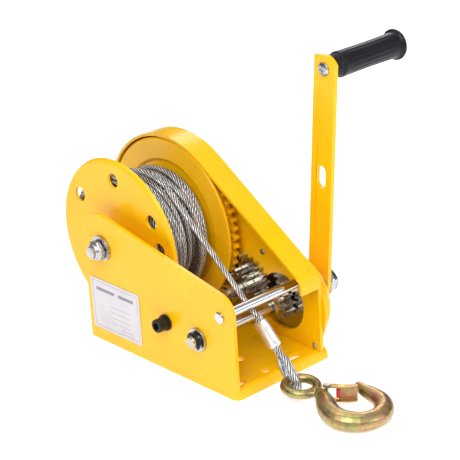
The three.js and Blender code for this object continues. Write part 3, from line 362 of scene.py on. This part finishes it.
def yellow_passivate():
    """Yellow zinc on a forging: gold shifting to pink and green, scale under the plating."""
    gold = Finish("yellow_passivate", (0.5, 0.38, 0.2), 0.33, 1.0)
    hue = gold.noise(42.0, 4.0, distortion=1.2)
    shifting = gold.ramp(hue, [
        (0.3, (0.40, 0.21, 0.19)), (0.42, (0.50, 0.30, 0.18)), (0.5, (0.50, 0.37, 0.14)),
        (0.58, (0.34, 0.35, 0.14)), (0.68, (0.50, 0.29, 0.24)),
    ])
    pits = gold.remap(gold.noise(230.0, 4.0), 0.34, 0.5, 1.0, 0.0)
    gold.color(gold.mix(gold.math("MULTIPLY", pits, 0.5), shifting, (0.26, 0.19, 0.09)))
    gold.rough(gold.remap(gold.noise(120.0, 4.0), 0.3, 0.7, 0.3, 0.46))
    lumps = gold.math("ADD", gold.noise(85.0, 3.0), gold.math("MULTIPLY", gold.noise(500.0, 3.0), 0.25))
    gold.bump(lumps, 0.0007, 0.45)
    return gold


def black_oxide():
    dark = Finish("black_oxide", (0.022, 0.021, 0.022), 0.4, 0.6)
    dark.rough(dark.remap(dark.noise(220.0, 3.0), 0.3, 0.7, 0.3, 0.52))
    dark.bump(dark.noise(900.0, 2.0), 0.0001, 0.4)
    return dark


def moulded_black(name, color, roughness, grain):
    """Moulded rubber or plastic with a fine grain and handled patches."""
    black = Finish(name, color, roughness, Specular_IOR_Level=0.22)
    handled = black.remap(black.noise(26.0, 3.0), 0.4, 0.7)
    lighter = tuple(c * 1.4 + 0.002 for c in color)
    black.color(black.mix(handled, color, lighter))
    black.rough(black.remap(black.noise(38.0, 3.0), 0.35, 0.7, roughness * 0.85, roughness * 1.2))
    black.bump(black.noise(grain, 3.0), 0.00025, 0.5)
    return black


def bronze():
    bush = Finish("bronze", (0.62, 0.42, 0.2), 0.35, 1.0)
    pores = bush.remap(bush.cells(1500.0), 0.1, 0.3, 1.0, 0.0)
    bush.color(bush.mix(bush.math("MULTIPLY", pores, 0.6), (0.62, 0.42, 0.2), (0.2, 0.12, 0.05)))
    bush.bump(pores, 0.00008, 0.5)
    return bush


def lining():
    pad = Finish("lining", (0.075, 0.058, 0.042), 0.85)
    flecks = pad.remap(pad.cells(900.0), 0.12, 0.28, 1.0, 0.0)
    pad.color(pad.mix(pad.math("MULTIPLY", flecks, 0.7), (0.075, 0.058, 0.042), (0.3, 0.2, 0.1)))
    pad.bump(pad.noise(700.0, 4.0), 0.0003, 0.6)
    return pad


def aluminium():
    sleeve = Finish("aluminium", (0.9, 0.9, 0.91), 0.36, 0.85)
    sleeve.rough(sleeve.remap(sleeve.noise(180.0, 3.0), 0.3, 0.7, 0.3, 0.42))
    sleeve.bump(sleeve.noise(420.0, 2.0), 0.00004, 0.2)
    return sleeve


WIRES_ROUND = 9.0
WIRE_PITCH = 9.0


def wire():
    """Galvanised strand: wires laid round each strand, read from the strand's own UVs, with painted shade in
    the grooves between the wires and on each strand's inner side.
    """
    rope = Finish("wire", (0.8, 0.81, 0.82), 0.36, 0.8)
    spot = rope.node("ShaderNodeUVMap", uv_map="strand").outputs[0]
    split = rope.node("ShaderNodeSeparateXYZ")
    rope.link(spot, split.inputs[0])
    lay = rope.math("MULTIPLY", split.outputs["X"], 1000.0 / WIRE_PITCH)
    around = rope.math("MULTIPLY", split.outputs["Y"], WIRES_ROUND)
    wires = rope.math("SINE", rope.math("MULTIPLY", rope.math("ADD", around, lay), math.tau))
    # painted shade: the grooves between the wires are darkened a quarter of the way towards near black
    painted_groove_shade = rope.remap(wires, -1.0, -0.35, 1.0, 0.0)
    # painted shade: each strand's side facing the rope's core is darkened almost to black, standing in for
    # the shadow between strands
    outward = rope.math("COSINE", rope.math("MULTIPLY", split.outputs["Y"], math.tau))
    painted_inner_shade = rope.remap(outward, 0.15, 0.85, 1.0, 0.0)
    grime = rope.remap(rope.noise(70.0, 3.0), 0.4, 0.7)
    bright = rope.mix(grime, (0.88, 0.89, 0.9), (0.66, 0.66, 0.65))
    groove_shaded = rope.mix(rope.math("MULTIPLY", painted_groove_shade, 0.25), bright, (0.10, 0.095, 0.09))
    rope.color(rope.mix(rope.math("MULTIPLY", painted_inner_shade, 0.95), groove_shaded, (0.05, 0.047, 0.044)))
    rope.rough(rope.remap(rope.noise(300.0, 2.0), 0.3, 0.7, 0.32, 0.46))
    rope.bump(wires, 0.00004, 0.35)
    return rope


LABEL_Y = (28.8, 105.6)
LABEL_Z = (14.0, 71.0)
LABEL_RULES = (26.0, 32.0, 38.0, 44.0)
LABEL_BARS_Y = ((38.0, 62.0), (68.0, 97.0))
LABEL_BAR_Z = (58.0, 61.5)
LABEL_BOX_Y = (42.0, 60.0)
LABEL_BOX_Z = (18.5, 22.5)


def label_film():
    """A pale grey film with a border, a few blank form rules and an empty box."""
    film = Finish("label_film", (0.62, 0.6, 0.64), 0.34, Coat_Weight=0.25, Coat_Roughness=0.15)
    y = film.axis("Y")
    z = film.axis("Z")

    def rectangle(y_range, z_range):
        (y0, y1), (z0, z1) = y_range, z_range
        low, high = at(0, y0, z0), at(0, y1, z1)
        return film.math("MULTIPLY", film.inside(y, low.y, high.y), film.inside(z, low.z, high.z))

    line = 0.45
    marks = [rectangle((46.0, 76.0), (level, level + line)) for level in LABEL_RULES]
    marks += [rectangle(run, LABEL_BAR_Z) for run in LABEL_BARS_Y]
    outer = rectangle(LABEL_BOX_Y, LABEL_BOX_Z)
    inner = rectangle(
        (LABEL_BOX_Y[0] + line, LABEL_BOX_Y[1] - line), (LABEL_BOX_Z[0] + line, LABEL_BOX_Z[1] - line))
    marks.append(film.math("SUBTRACT", outer, inner))
    margin = 3.0
    frame_outer = rectangle(
        (LABEL_Y[0] + margin, LABEL_Y[1] - margin), (LABEL_Z[0] + margin, LABEL_Z[1] - margin))
    inset = margin + line
    frame_inner = rectangle(
        (LABEL_Y[0] + inset, LABEL_Y[1] - inset), (LABEL_Z[0] + inset, LABEL_Z[1] - inset))
    marks.append(film.math("SUBTRACT", frame_outer, frame_inner))
    total = marks[0]
    for mark in marks[1:]:
        total = film.math("MAXIMUM", total, mark)
    aged = film.mix(film.remap(film.noise(35.0, 3.0), 0.35, 0.7), (0.64, 0.62, 0.66), (0.57, 0.55, 0.6))
    film.color(film.mix(film.math("MULTIPLY", total, 0.8), aged, (0.1, 0.09, 0.11)))
    film.bump(film.noise(80.0, 2.0), 0.0002, 0.2)
    return film


def red_dip():
    red = Finish("red_dip", (0.72, 0.012, 0.008), 0.35, Coat_Weight=0.3)
    red.color(red.mix(red.remap(red.noise(400.0, 2.0), 0.35, 0.7), (0.74, 0.014, 0.008), (0.5, 0.01, 0.006)))
    red.bump(red.noise(600.0, 2.0), 0.0002, 0.4)
    return red


STEEL = (0.5, 0.48, 0.44)
BLUE_ZINC = (0.42, 0.48, 0.57)
ZINC = (0.52, 0.53, 0.55)


def make_finishes():
    return {
        "yellow_paint": powder_coat("yellow_powder"),
        "gear_paint": gear_paint(),
        "steel": turned_steel("steel_input", STEEL, 0.22, INPUT),
        "steel_mid": turned_steel("steel_mid", STEEL, 0.22, MID, 0.5),
        "polished_steel": polished_rod(),
        "zinc": plated("zinc", ZINC, (0.42, 0.43, 0.46), 0.26),
        "blue_zinc": plated("blue_zinc", BLUE_ZINC, (0.5, 0.52, 0.54), 0.24),
        "yellow_zinc": yellow_passivate(),
        "black_oxide": black_oxide(),
        "black_plastic": moulded_black("black_plastic", (0.012, 0.012, 0.013), 0.42, 700.0),
        "black_rubber": moulded_black("black_rubber", (0.007, 0.006, 0.010), 0.42, 950.0),
        "bronze": bronze(),
        "brake_lining": lining(),
        "aluminium": aluminium(),
        "wire_rope": wire(),
        "label_film": label_film(),
        "red": red_dip(),
    }


# ---- CAD pieces: finish and rounded edges -------------------------------------------
def smooth_group():
    """Geometry nodes that shade faces smooth and keep edges over an angle sharp."""
    group = bpy.data.node_groups.new("smooth_by_angle", "GeometryNodeTree")
    group.interface.new_socket("Geometry", in_out="INPUT", socket_type="NodeSocketGeometry")
    group.interface.new_socket("Geometry", in_out="OUTPUT", socket_type="NodeSocketGeometry")
    nodes = group.nodes
    entry = nodes.new("NodeGroupInput")
    leave = nodes.new("NodeGroupOutput")
    faces = nodes.new("GeometryNodeSetShadeSmooth")
    edges = nodes.new("GeometryNodeSetShadeSmooth")
    edges.domain = "EDGE"
    angle = nodes.new("GeometryNodeInputMeshEdgeAngle")
    flat = nodes.new("FunctionNodeCompare")
    flat.operation = "LESS_EQUAL"
    flat.inputs[1].default_value = math.radians(38)
    group.links.new(angle.outputs["Unsigned Angle"], flat.inputs[0])
    group.links.new(flat.outputs[0], edges.inputs["Shade Smooth"])
    group.links.new(entry.outputs[0], faces.inputs["Geometry"])
    group.links.new(faces.outputs[0], edges.inputs["Geometry"])
    group.links.new(edges.outputs[0], leave.inputs[0])
    return group


def soften(piece, group, width):
    """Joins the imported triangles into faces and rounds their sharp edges."""
    weld = piece.modifiers.new("weld", "WELD")
    weld.merge_threshold = 0.00001
    flat = piece.modifiers.new("flat", "DECIMATE")
    flat.decimate_type = "DISSOLVE"
    flat.angle_limit = math.radians(0.4)
    if width > 0:
        bevel = piece.modifiers.new("edges", "BEVEL")
        bevel.width = width * MM
        bevel.segments = 2
        bevel.limit_method = "ANGLE"
        bevel.angle_limit = math.radians(38)
    smooth = piece.modifiers.new("smooth", "NODES")
    smooth.node_group = group
    normals = piece.modifiers.new("normals", "WEIGHTED_NORMAL")
    normals.keep_sharp = True


def forge(piece, voxel, rounds):
    """Blends a piece's joints as a forging's: even skin, then relaxed."""
    weld = piece.modifiers.new("weld", "WELD")
    weld.merge_threshold = 0.00001
    skin = piece.modifiers.new("skin", "REMESH")
    skin.mode = "VOXEL"
    skin.voxel_size = voxel * MM
    skin.use_smooth_shade = True
    relax = piece.modifiers.new("relax", "SMOOTH")
    relax.factor = 0.5
    relax.iterations = rounds


SPECIAL_FINISH = {
    "drum_gear": "gear_paint",
    "mid_gear": "steel_mid",
    "mid_pinion": "steel_mid",
    "mid_collar": "steel_mid",
    "mid_spacer": "steel_mid",
}
EDGE_WIDTH = {
    "frame_sheet": 0.9, "right_housing": 0.8, "brake_cover": 0.6, "crank_arm": 0.9,
    "drum_flange_left": 0.5, "drum_flange_right": 0.6, "drum_gear": 0.35,
    "label": 0.0, "pawl_spring": 0.0, "hook": 0.0,
}
USUAL_EDGE = 0.3


def dress_cad(finishes):
    group = smooth_group()
    slots = {part["node"]: part["material_slot"] for part in frame["record"]["subparts"]}
    for name, piece in frame["nodes"].items():
        finish = finishes[SPECIAL_FINISH.get(name, slots[name])]
        piece.data.materials.clear()
        piece.data.materials.append(finish.material)
        if name == "hook":
            forge(piece, 0.8, 14)
        else:
            soften(piece, group, EDGE_WIDTH.get(name, USUAL_EDGE))


# ---- mesh helpers --------------------------------------------------------------------
def new_piece(name, points, faces, finish, body, smooth=True):
    """A mesh piece from points in millimetres, riding on a body."""
    mesh = bpy.data.meshes.new(name)
    mesh.from_pydata([place(p) for p in points], [], faces)
    mesh.polygons.foreach_set("use_smooth", [smooth] * len(mesh.polygons))
    mesh.materials.append(finish.material)
    mesh.update()
    piece = bpy.data.objects.new(name, mesh)
    bpy.context.scene.collection.objects.link(piece)
    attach(piece, body)
    return piece


def tube_faces(rings, around, closed_ends=True, first=0):
    """Quads between rings of points, and a cap on each end."""
    faces = []
    for i in range(rings - 1):
        for j in range(around):
            a = first + i * around + j
            b = first + i * around + (j + 1) % around
            faces.append((a, b, b + around, a + around))
    if closed_ends:
        faces.append(tuple(first + j for j in reversed(range(around))))
        faces.append(tuple(first + (rings - 1) * around + j for j in range(around)))
    return faces


def lathe(name, profile, centre, finish, body, around=64, radius_at=None):
    """A turned piece along X: profile is (radius, x) from one end to the other, round (y, z)."""
    points = []
    for radius, x in profile:
        for j in range(around):
            angle = math.tau * j / around
            r = radius_at(radius, x, angle) if radius_at else radius
            points.append((x, centre[0] + r * math.cos(angle), centre[1] + r * math.sin(angle)))
    faces = tube_faces(len(profile), around)
    return new_piece(name, points, faces, finish, body)


def spline_points(knots, step):
    """Points about a step apart on a smooth curve through the knots."""
    knots = [Vector(k) for k in knots]
    padded = [knots[0] * 2 - knots[1], *knots, knots[-1] * 2 - knots[-2]]
    points = []
    for p0, p1, p2, p3 in zip(padded, padded[1:], padded[2:], padded[3:]):
        t1 = (p1 - p0).length ** 0.5
        t2 = t1 + (p2 - p1).length ** 0.5
        t3 = t2 + (p3 - p2).length ** 0.5
        count = max(2, round((p2 - p1).length / step))
        for i in range(count):
            t = t1 + (t2 - t1) * i / count
            a1 = p0 * ((t1 - t) / t1) + p1 * (t / t1)
            a2 = p1 * ((t2 - t) / (t2 - t1)) + p2 * ((t - t1) / (t2 - t1))
            a3 = p2 * ((t3 - t) / (t3 - t2)) + p3 * ((t - t2) / (t3 - t2))
            b1 = a1 * ((t2 - t) / t2) + a2 * (t / t2)
            b2 = a2 * ((t3 - t) / (t3 - t1)) + a3 * ((t - t1) / (t3 - t1))
            points.append(b1 * ((t2 - t) / (t2 - t1)) + b2 * ((t - t1) / (t2 - t1)))
    points.append(knots[-1])
    return points


# ---- wire rope --------------------------------------------------------------------------
def rope_piece(name, line, first_normal, start, sides, finish, body):
    """Six strands laid round a centre line. Start is the length already laid before it."""
    points = []
    faces = []
    spots = []
    tangents = []
    for i in range(len(line)):
        tangents.append((line[min(i + 1, len(line) - 1)] - line[max(i - 1, 0)]).normalized())
    normals = []
    normal = Vector(first_normal)
    for tangent in tangents:
        normal = (normal - tangent * normal.dot(tangent)).normalized()
        normals.append(normal)
    along = [start]
    for a, b in zip(line, line[1:]):
        along.append(along[-1] + (b - a).length)
    for strand in range(STRANDS):
        first = len(points)
        for centre, tangent, normal, length in zip(line, tangents, normals, along):
            side = tangent.cross(normal)
            turn = math.tau * (length / ROPE_LAY + strand / STRANDS)
            out = normal * math.cos(turn) + side * math.sin(turn)
            across = tangent.cross(out)
            middle = centre + out * STRAND_AT
            for j in range(sides):
                angle = math.tau * j / sides
                points.append(middle + (out * math.cos(angle) + across * math.sin(angle)) * STRAND_R)
        faces += tube_faces(len(line), sides, True, first)
        for i in range(len(line) - 1):
            for j in range(sides):
                u0, u1 = along[i] * MM, along[i + 1] * MM
                v0, v1 = j / sides, (j + 1) / sides
                spots += [(u0, v0), (u0, v1), (u1, v1), (u1, v0)]
        spots += [(along[0] * MM, 0.5)] * sides + [(along[-1] * MM, 0.5)] * sides
    piece = new_piece(name, points, faces, finish, body)
    layer = piece.data.uv_layers.new(name="strand")
    layer.data.foreach_set("uv", [value for spot in spots for value in spot])
    return piece, along[-1]


WINDING_STEPS = 80
TRAVERSE = [
    (0.0, -35.2), (4.0, -10.9), (9.6, 23.2), (10.3, 26.0), (11.0, 24.0), (14.6, 2.5),
    (15.2, -5.5), (20.0, -32.0), (20.5, -34.0), (21.2, -31.0), (22.3, -21.0), (22.6, -14.0), (23.0, -2.0),
]
SLANT = 4.6
SLANT_ANGLE = 235.0
SLANT_EDGE = 4.0


def traverse(turn):
    """Where along the drum the rope lies after that many turns, by straight runs made smooth."""
    for (t0, x0), (t1, x1) in zip(TRAVERSE, TRAVERSE[1:]):
        if turn <= t1:
            return x0 + (x1 - x0) * (turn - t0) / (t1 - t0)
    return TRAVERSE[-1][1]


def smoothed(values, reach):
    """Each value's mean with its neighbours, by running sums; the ends stay."""
    total = [0.0]
    for value in values:
        total.append(total[-1] + value)
    result = []
    for i in range(len(values)):
        half = min(reach, i, len(values) - 1 - i)
        result.append((total[i + half + 1] - total[i - half]) / (2 * half + 1))
    return result


def wound_line():
    """The rope on the drum, turn on turn, each lying on the core or on the turns below."""
    turns = TRAVERSE[-1][0]
    count = int(turns * WINDING_STEPS) + 1
    places = []
    for i in range(count):
        turn = i / WINDING_STEPS
        angle = math.radians(EXIT_ANGLE) - (turns - turn) * math.tau
        x = traverse(turn)
        wander = min(1.0, max(0.0, (turn - 9.0) / 3.0)) * min(1.0, (turns - turn) / 0.8)
        x += wander * 1.1 * noise.noise(Vector((turn * 0.9, 3.7, 0.0)))
        left = min(1.0, max(0.0, (SLANT_EDGE - x) / 14.0))
        lean = left if turn > 12.0 else 0.25 * left - 0.6 * (1.0 - left)
        x += wander * SLANT * lean * math.cos(angle - math.radians(SLANT_ANGLE))
        places.append((angle, max(-35.6, min(29.4, x))))
    xs = smoothed([x for _, x in places], 9)
    thick = ROPE_R * 2 * 0.985
    radii = []
    for i, x in enumerate(xs):
        height = CORE_R + ROPE_R
        for j in range(i - WINDING_STEPS, -1, -WINDING_STEPS):
            for k in (j - 1, j, j + 1):
                off = abs(xs[max(k, 0)] - x)
                if off < thick:
                    height = max(height, radii[max(k, 0)] + math.sqrt(thick * thick - off * off))
        radii.append(height)
    ease = 24
    for i in range(ease):
        share = 0.5 - 0.5 * math.cos(math.pi * (i + 1) / ease)
        index = count - ease + i
        radii[index] += (EXIT_RADIUS - radii[index]) * share
    radii = smoothed(radii, 3)
    line = []
    for (angle, _), x, radius in zip(places, xs, radii):
        line.append(Vector((x, DRUM[0] + radius * math.cos(angle), DRUM[1] + radius * math.sin(angle))))
    return line


def across_axis(along, side):
    side = Vector(side)
    return (side - along * side.dot(along)).normalized()


FERRULE_ALONG = (FERRULE_LOW - FERRULE_TOP).normalized()
FERRULE_ACROSS = across_axis(FERRULE_ALONG, (0.0, -1.0, 0.8))
EYE_ALONG = (CROWN - FERRULE_LOW).normalized()
EYE_ACROSS = across_axis(EYE_ALONG, (-0.42, -0.68, 0.6))
EYE_WIDTH = EYE_ALONG.cross(EYE_ACROSS).normalized()


def eye_knots(inset, leg_gap, shorten):
    """Teardrop of the rope's eye, from the low leg round the crown to the high leg."""
    radius = EYE_ROPE_R - inset
    leg_out = EYE_ROPE_R * 0.78 - inset * 1.08
    reach = (CROWN - FERRULE_LOW).length
    shoulder = FERRULE_LOW + EYE_ALONG * (reach * 0.42)
    start = FERRULE_LOW + EYE_ALONG * shorten
    knots = [start - EYE_ACROSS * leg_gap, shoulder - EYE_ACROSS * leg_out]
    for i in range(9):
        angle = math.radians(188 - 196 * i / 8)
        knots.append(CROWN + EYE_ALONG * (radius * math.sin(angle)) + EYE_ACROSS * (radius * math.cos(angle)))
    knots += [shoulder + EYE_ACROSS * leg_out, start + EYE_ACROSS * leg_gap]
    return knots


def free_line():
    """The rope from the drum, behind the guide rod, through the ferrule, round the eye and back."""
    gap = FERRULE_ACROSS * 3.0
    main_leg = [FERRULE_TOP - gap, FERRULE_LOW - gap * 1.15]
    tail = [FERRULE_LOW + gap * 1.15, FERRULE_TOP + gap, FERRULE_TOP + gap - FERRULE_ALONG * 4.5]
    knots = [Vector(p) for p in LEAD] + main_leg + eye_knots(0.0, LEG_GAP, 2.4) + tail
    return spline_points(knots, 2.2)


def make_rope(finish):
    wound = wound_line()
    radial = Vector((0.0, wound[0].y - DRUM[0], wound[0].z - DRUM[1]))
    coil, laid = rope_piece("rope_on_drum", wound, radial, 0.0, 5, finish, "drum")
    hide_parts("rope_pack")
    lead = free_line()
    away = Vector((0.0, lead[0].y - DRUM[0], lead[0].z - DRUM[1]))
    free, _ = rope_piece("rope_free", lead, away, laid, 7, finish, "frame")
    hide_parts("rope_lead", "rope_eye")
    return free, lead


# ---- fittings on the rope -----------------------------------------------------------------
def make_ferrule(finish):
    """Pressed sleeve: oval, rounded at its ends, with the two flash lines of the press."""
    around = 48
    length = (FERRULE_LOW - FERRULE_TOP).length
    normal = FERRULE_ALONG.cross(FERRULE_ACROSS).normalized()
    profile = [
        (0.0, 0.62), (0.012, 0.78), (0.035, 0.88), (0.07, 0.955), (0.12, 0.99), (0.2, 1.0), (0.5, 0.985),
        (0.8, 1.0), (0.88, 0.99), (0.93, 0.955), (0.965, 0.88), (0.988, 0.78), (1.0, 0.62),
    ]
    points = []
    for t, scale in profile:
        centre = FERRULE_TOP + FERRULE_ALONG * (length * t)
        for j in range(around):
            angle = math.tau * j / around
            ridge = 0.35 * max(0.0, 1.0 - abs(math.sin(angle)) / 0.13) * (scale > 0.9)
            wide = (FERRULE_HALF[0] * scale - 0.35 + ridge) * math.cos(angle)
            high = FERRULE_HALF[1] * scale * math.sin(angle)
            points.append(centre + FERRULE_ACROSS * wide + normal * high)
    faces = tube_faces(len(profile), around)
    sleeve = new_piece("ferrule_sleeve", points, faces, finish, "frame")
    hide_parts("ferrule")
    return sleeve


def make_thimble(finish):
    """Pressed channel that lines the eye: a gutter whose lips hold the rope."""
    line = spline_points(eye_knots(0.0, 3.0, 7.5), 1.6)
    groove = ROPE_R + 0.25
    sheet = 1.0
    lip_angle = 88.0
    ribs = 10
    points = []
    count = len(line)
    middle = FERRULE_LOW + EYE_ALONG * ((CROWN - FERRULE_LOW).length * 0.8)
    for i, centre in enumerate(line):
        tangent = (line[min(i + 1, count - 1)] - line[max(i - 1, 0)]).normalized()
        inward = tangent.cross(EYE_WIDTH).normalized()
        if inward.dot(middle - centre) < 0:
            inward = -inward
        fade = min(1.0, min(i, count - 1 - i) / 6.0)
        reach = math.radians(lip_angle * (0.35 + 0.65 * fade))
        section = []
        for radius, order in ((groove, 1), (groove + sheet, -1)):
            for j in range(ribs + 1):
                angle = order * reach * (2 * j / ribs - 1)
                deep = inward * (radius * math.cos(angle))
                wide = EYE_WIDTH * (radius * math.sin(angle))
                section.append(centre + deep + wide)
        points += section
    faces = tube_faces(count, 2 * (ribs + 1))
    channel = new_piece("thimble_channel", points, faces, finish, "frame")
    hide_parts("thimble")
    return channel


def make_latch_stop(finish):
    """Small red cushion under the root of the latch."""
    end_side = LATCH_END_SIDE - PIVOT_SIDE
    end_back = LATCH_END_BACK - PIVOT_BACK
    run = Vector(HOOK_SIDE * end_side - HOOK_DOWN * end_back).normalized()
    out = run.cross(HOOK_UP).normalized()
    if out.dot(HOOK_SIDE) < 0:
        out = -out
    half = (2.0, 1.3, 5.6)
    centre = LATCH_PIVOT + run * 11.0 + out * 1.6
    points = []
    rows = [(-1.0, 0.72), (-0.8, 0.93), (-0.4, 1.0), (0.4, 1.0), (0.8, 0.93), (1.0, 0.72)]
    around = 20
    for level, scale in rows:
        for j in range(around):
            angle = math.tau * j / around
            u = math.copysign(abs(math.cos(angle)) ** 0.5, math.cos(angle)) * half[0] * scale
            v = math.copysign(abs(math.sin(angle)) ** 0.5, math.sin(angle)) * half[1] * scale
            points.append(centre + run * u + out * v + HOOK_UP * (half[2] * level))
    return new_piece("latch_stop", points, tube_faces(len(rows), around), finish, "latch")


# ---- nuts and the grip ---------------------------------------------------------------------
def hexagon_radius(across, angle):
    sector = math.tau / 6
    return across / 2 / math.cos((angle + sector / 2) % sector - sector / 2)


NUT_CHAMFER = 0.55


def make_nut(name, stands_for, centre, across, bore, x_seat, x_top, turn, finish, body, collar=0.0):
    """A chamfered hexagon nut; a locking nut has a round collar beyond its hexagon."""
    away = math.copysign(1.0, x_top - x_seat)
    hex_top = x_top - away * collar
    lift = 0.9
    flat_r = across / 2 * 0.95
    profile = [
        (bore, x_seat), (flat_r, x_seat + away * 0.02), ("hex", x_seat + away * lift),
        ("hex", hex_top - away * lift), (flat_r, hex_top - away * 0.02),
    ]
    if collar:
        profile += [
            (across * 0.43, hex_top), (across * 0.43, x_top - away * 1.1),
            (across * 0.40, x_top - away * 0.3), (across * 0.36, x_top),
        ]
    profile += [(bore, x_top), (bore, x_seat)]
    around = 72

    points = []
    for radius, x in profile:
        for j in range(around):
            angle = math.tau * j / around
            corner = hexagon_radius(across, angle - turn)
            shift = 0.0
            r = radius
            if radius == "hex":
                r = corner
                inward = away if x == profile[2][1] else -away
                shift = inward * ((corner - flat_r) * NUT_CHAMFER - lift)
            points.append((x + shift, centre[0] + r * math.cos(angle), centre[1] + r * math.sin(angle)))
    faces = tube_faces(len(profile), around, False)
    nut = new_piece(name, points, faces, finish, body)
    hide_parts(stands_for)
    return nut


def make_grip(finish):
    """Rubber grip: a waist at the arm, shallow flutes along it and a flared end."""
    x0, x1 = GRIP_X
    body_start, body_end = x0 + 14.0, x1 - 17.0
    bore = 7.6

    profile = [(bore, x0), (GRIP_R - 2.2, x0), (GRIP_R - 1.4, x0 + 0.5), (GRIP_R - 1.2, x0 + 1.4)]
    profile += [(GRIP_R - 1.2, x0 + 6.2), (GRIP_R - 0.3, x0 + 7.0), (GRIP_R, x0 + 7.8)]
    steps = 26
    for i in range(steps + 1):
        x = x0 + 9.0 + (x1 - 8.0 - x0 - 9.0) * i / steps
        profile.append((GRIP_R - 0.5 * math.sin(math.pi * i / steps), x))
    flare = 6
    for i in range(1, flare + 1):
        share = i / flare
        rise = share * share * (GRIP_FLANGE_R - 0.6 - GRIP_R)
        profile.append((GRIP_R + rise, x1 - 8.0 + 3.4 * share))
    profile += [
        (GRIP_FLANGE_R, x1 - 3.9), (GRIP_FLANGE_R, x1 - 2.4), (GRIP_FLANGE_R - 0.6, x1 - 1.3),
        (GRIP_FLANGE_R - 2.2, x1 - 0.4), (GRIP_FLANGE_R - 5.5, x1), (0.3, x1),
    ]

    def fluted(radius, x, angle):
        inside = min(1.0, max(0.0, (x - body_start) / 3.0)) * min(1.0, max(0.0, (body_end - x) / 3.0))
        return radius - 0.45 * inside * max(0.0, math.cos(16 * angle)) ** 2

    piece = lathe("grip_rubber", profile, HANDLE, finish, "grip", 128, fluted)
    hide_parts("grip")
    return piece


def make_details(finishes):
    free, lead = make_rope(finishes["wire_rope"])
    sleeve = make_ferrule(finishes["aluminium"])
    channel = make_thimble(finishes["blue_zinc"])
    stop = make_latch_stop(finishes["red"])
    make_nut("drum_lock_nut", "drum_nut", DRUM, 19.0, 6.1, -65.6, -75.6, 0.35,
             finishes["zinc"], "frame", 3.2)
    make_nut("hub_nut", "crank_nut", INPUT, 22.0, 6.6, 111.1, 122.0, 0.2,
             finishes["blue_zinc"], "crank", 0.0)
    make_grip(finishes["black_rubber"])


make_camera()
make_studio()
make_floor()
all_finishes = make_finishes()
dress_cad(all_finishes)
make_details(all_finishes)
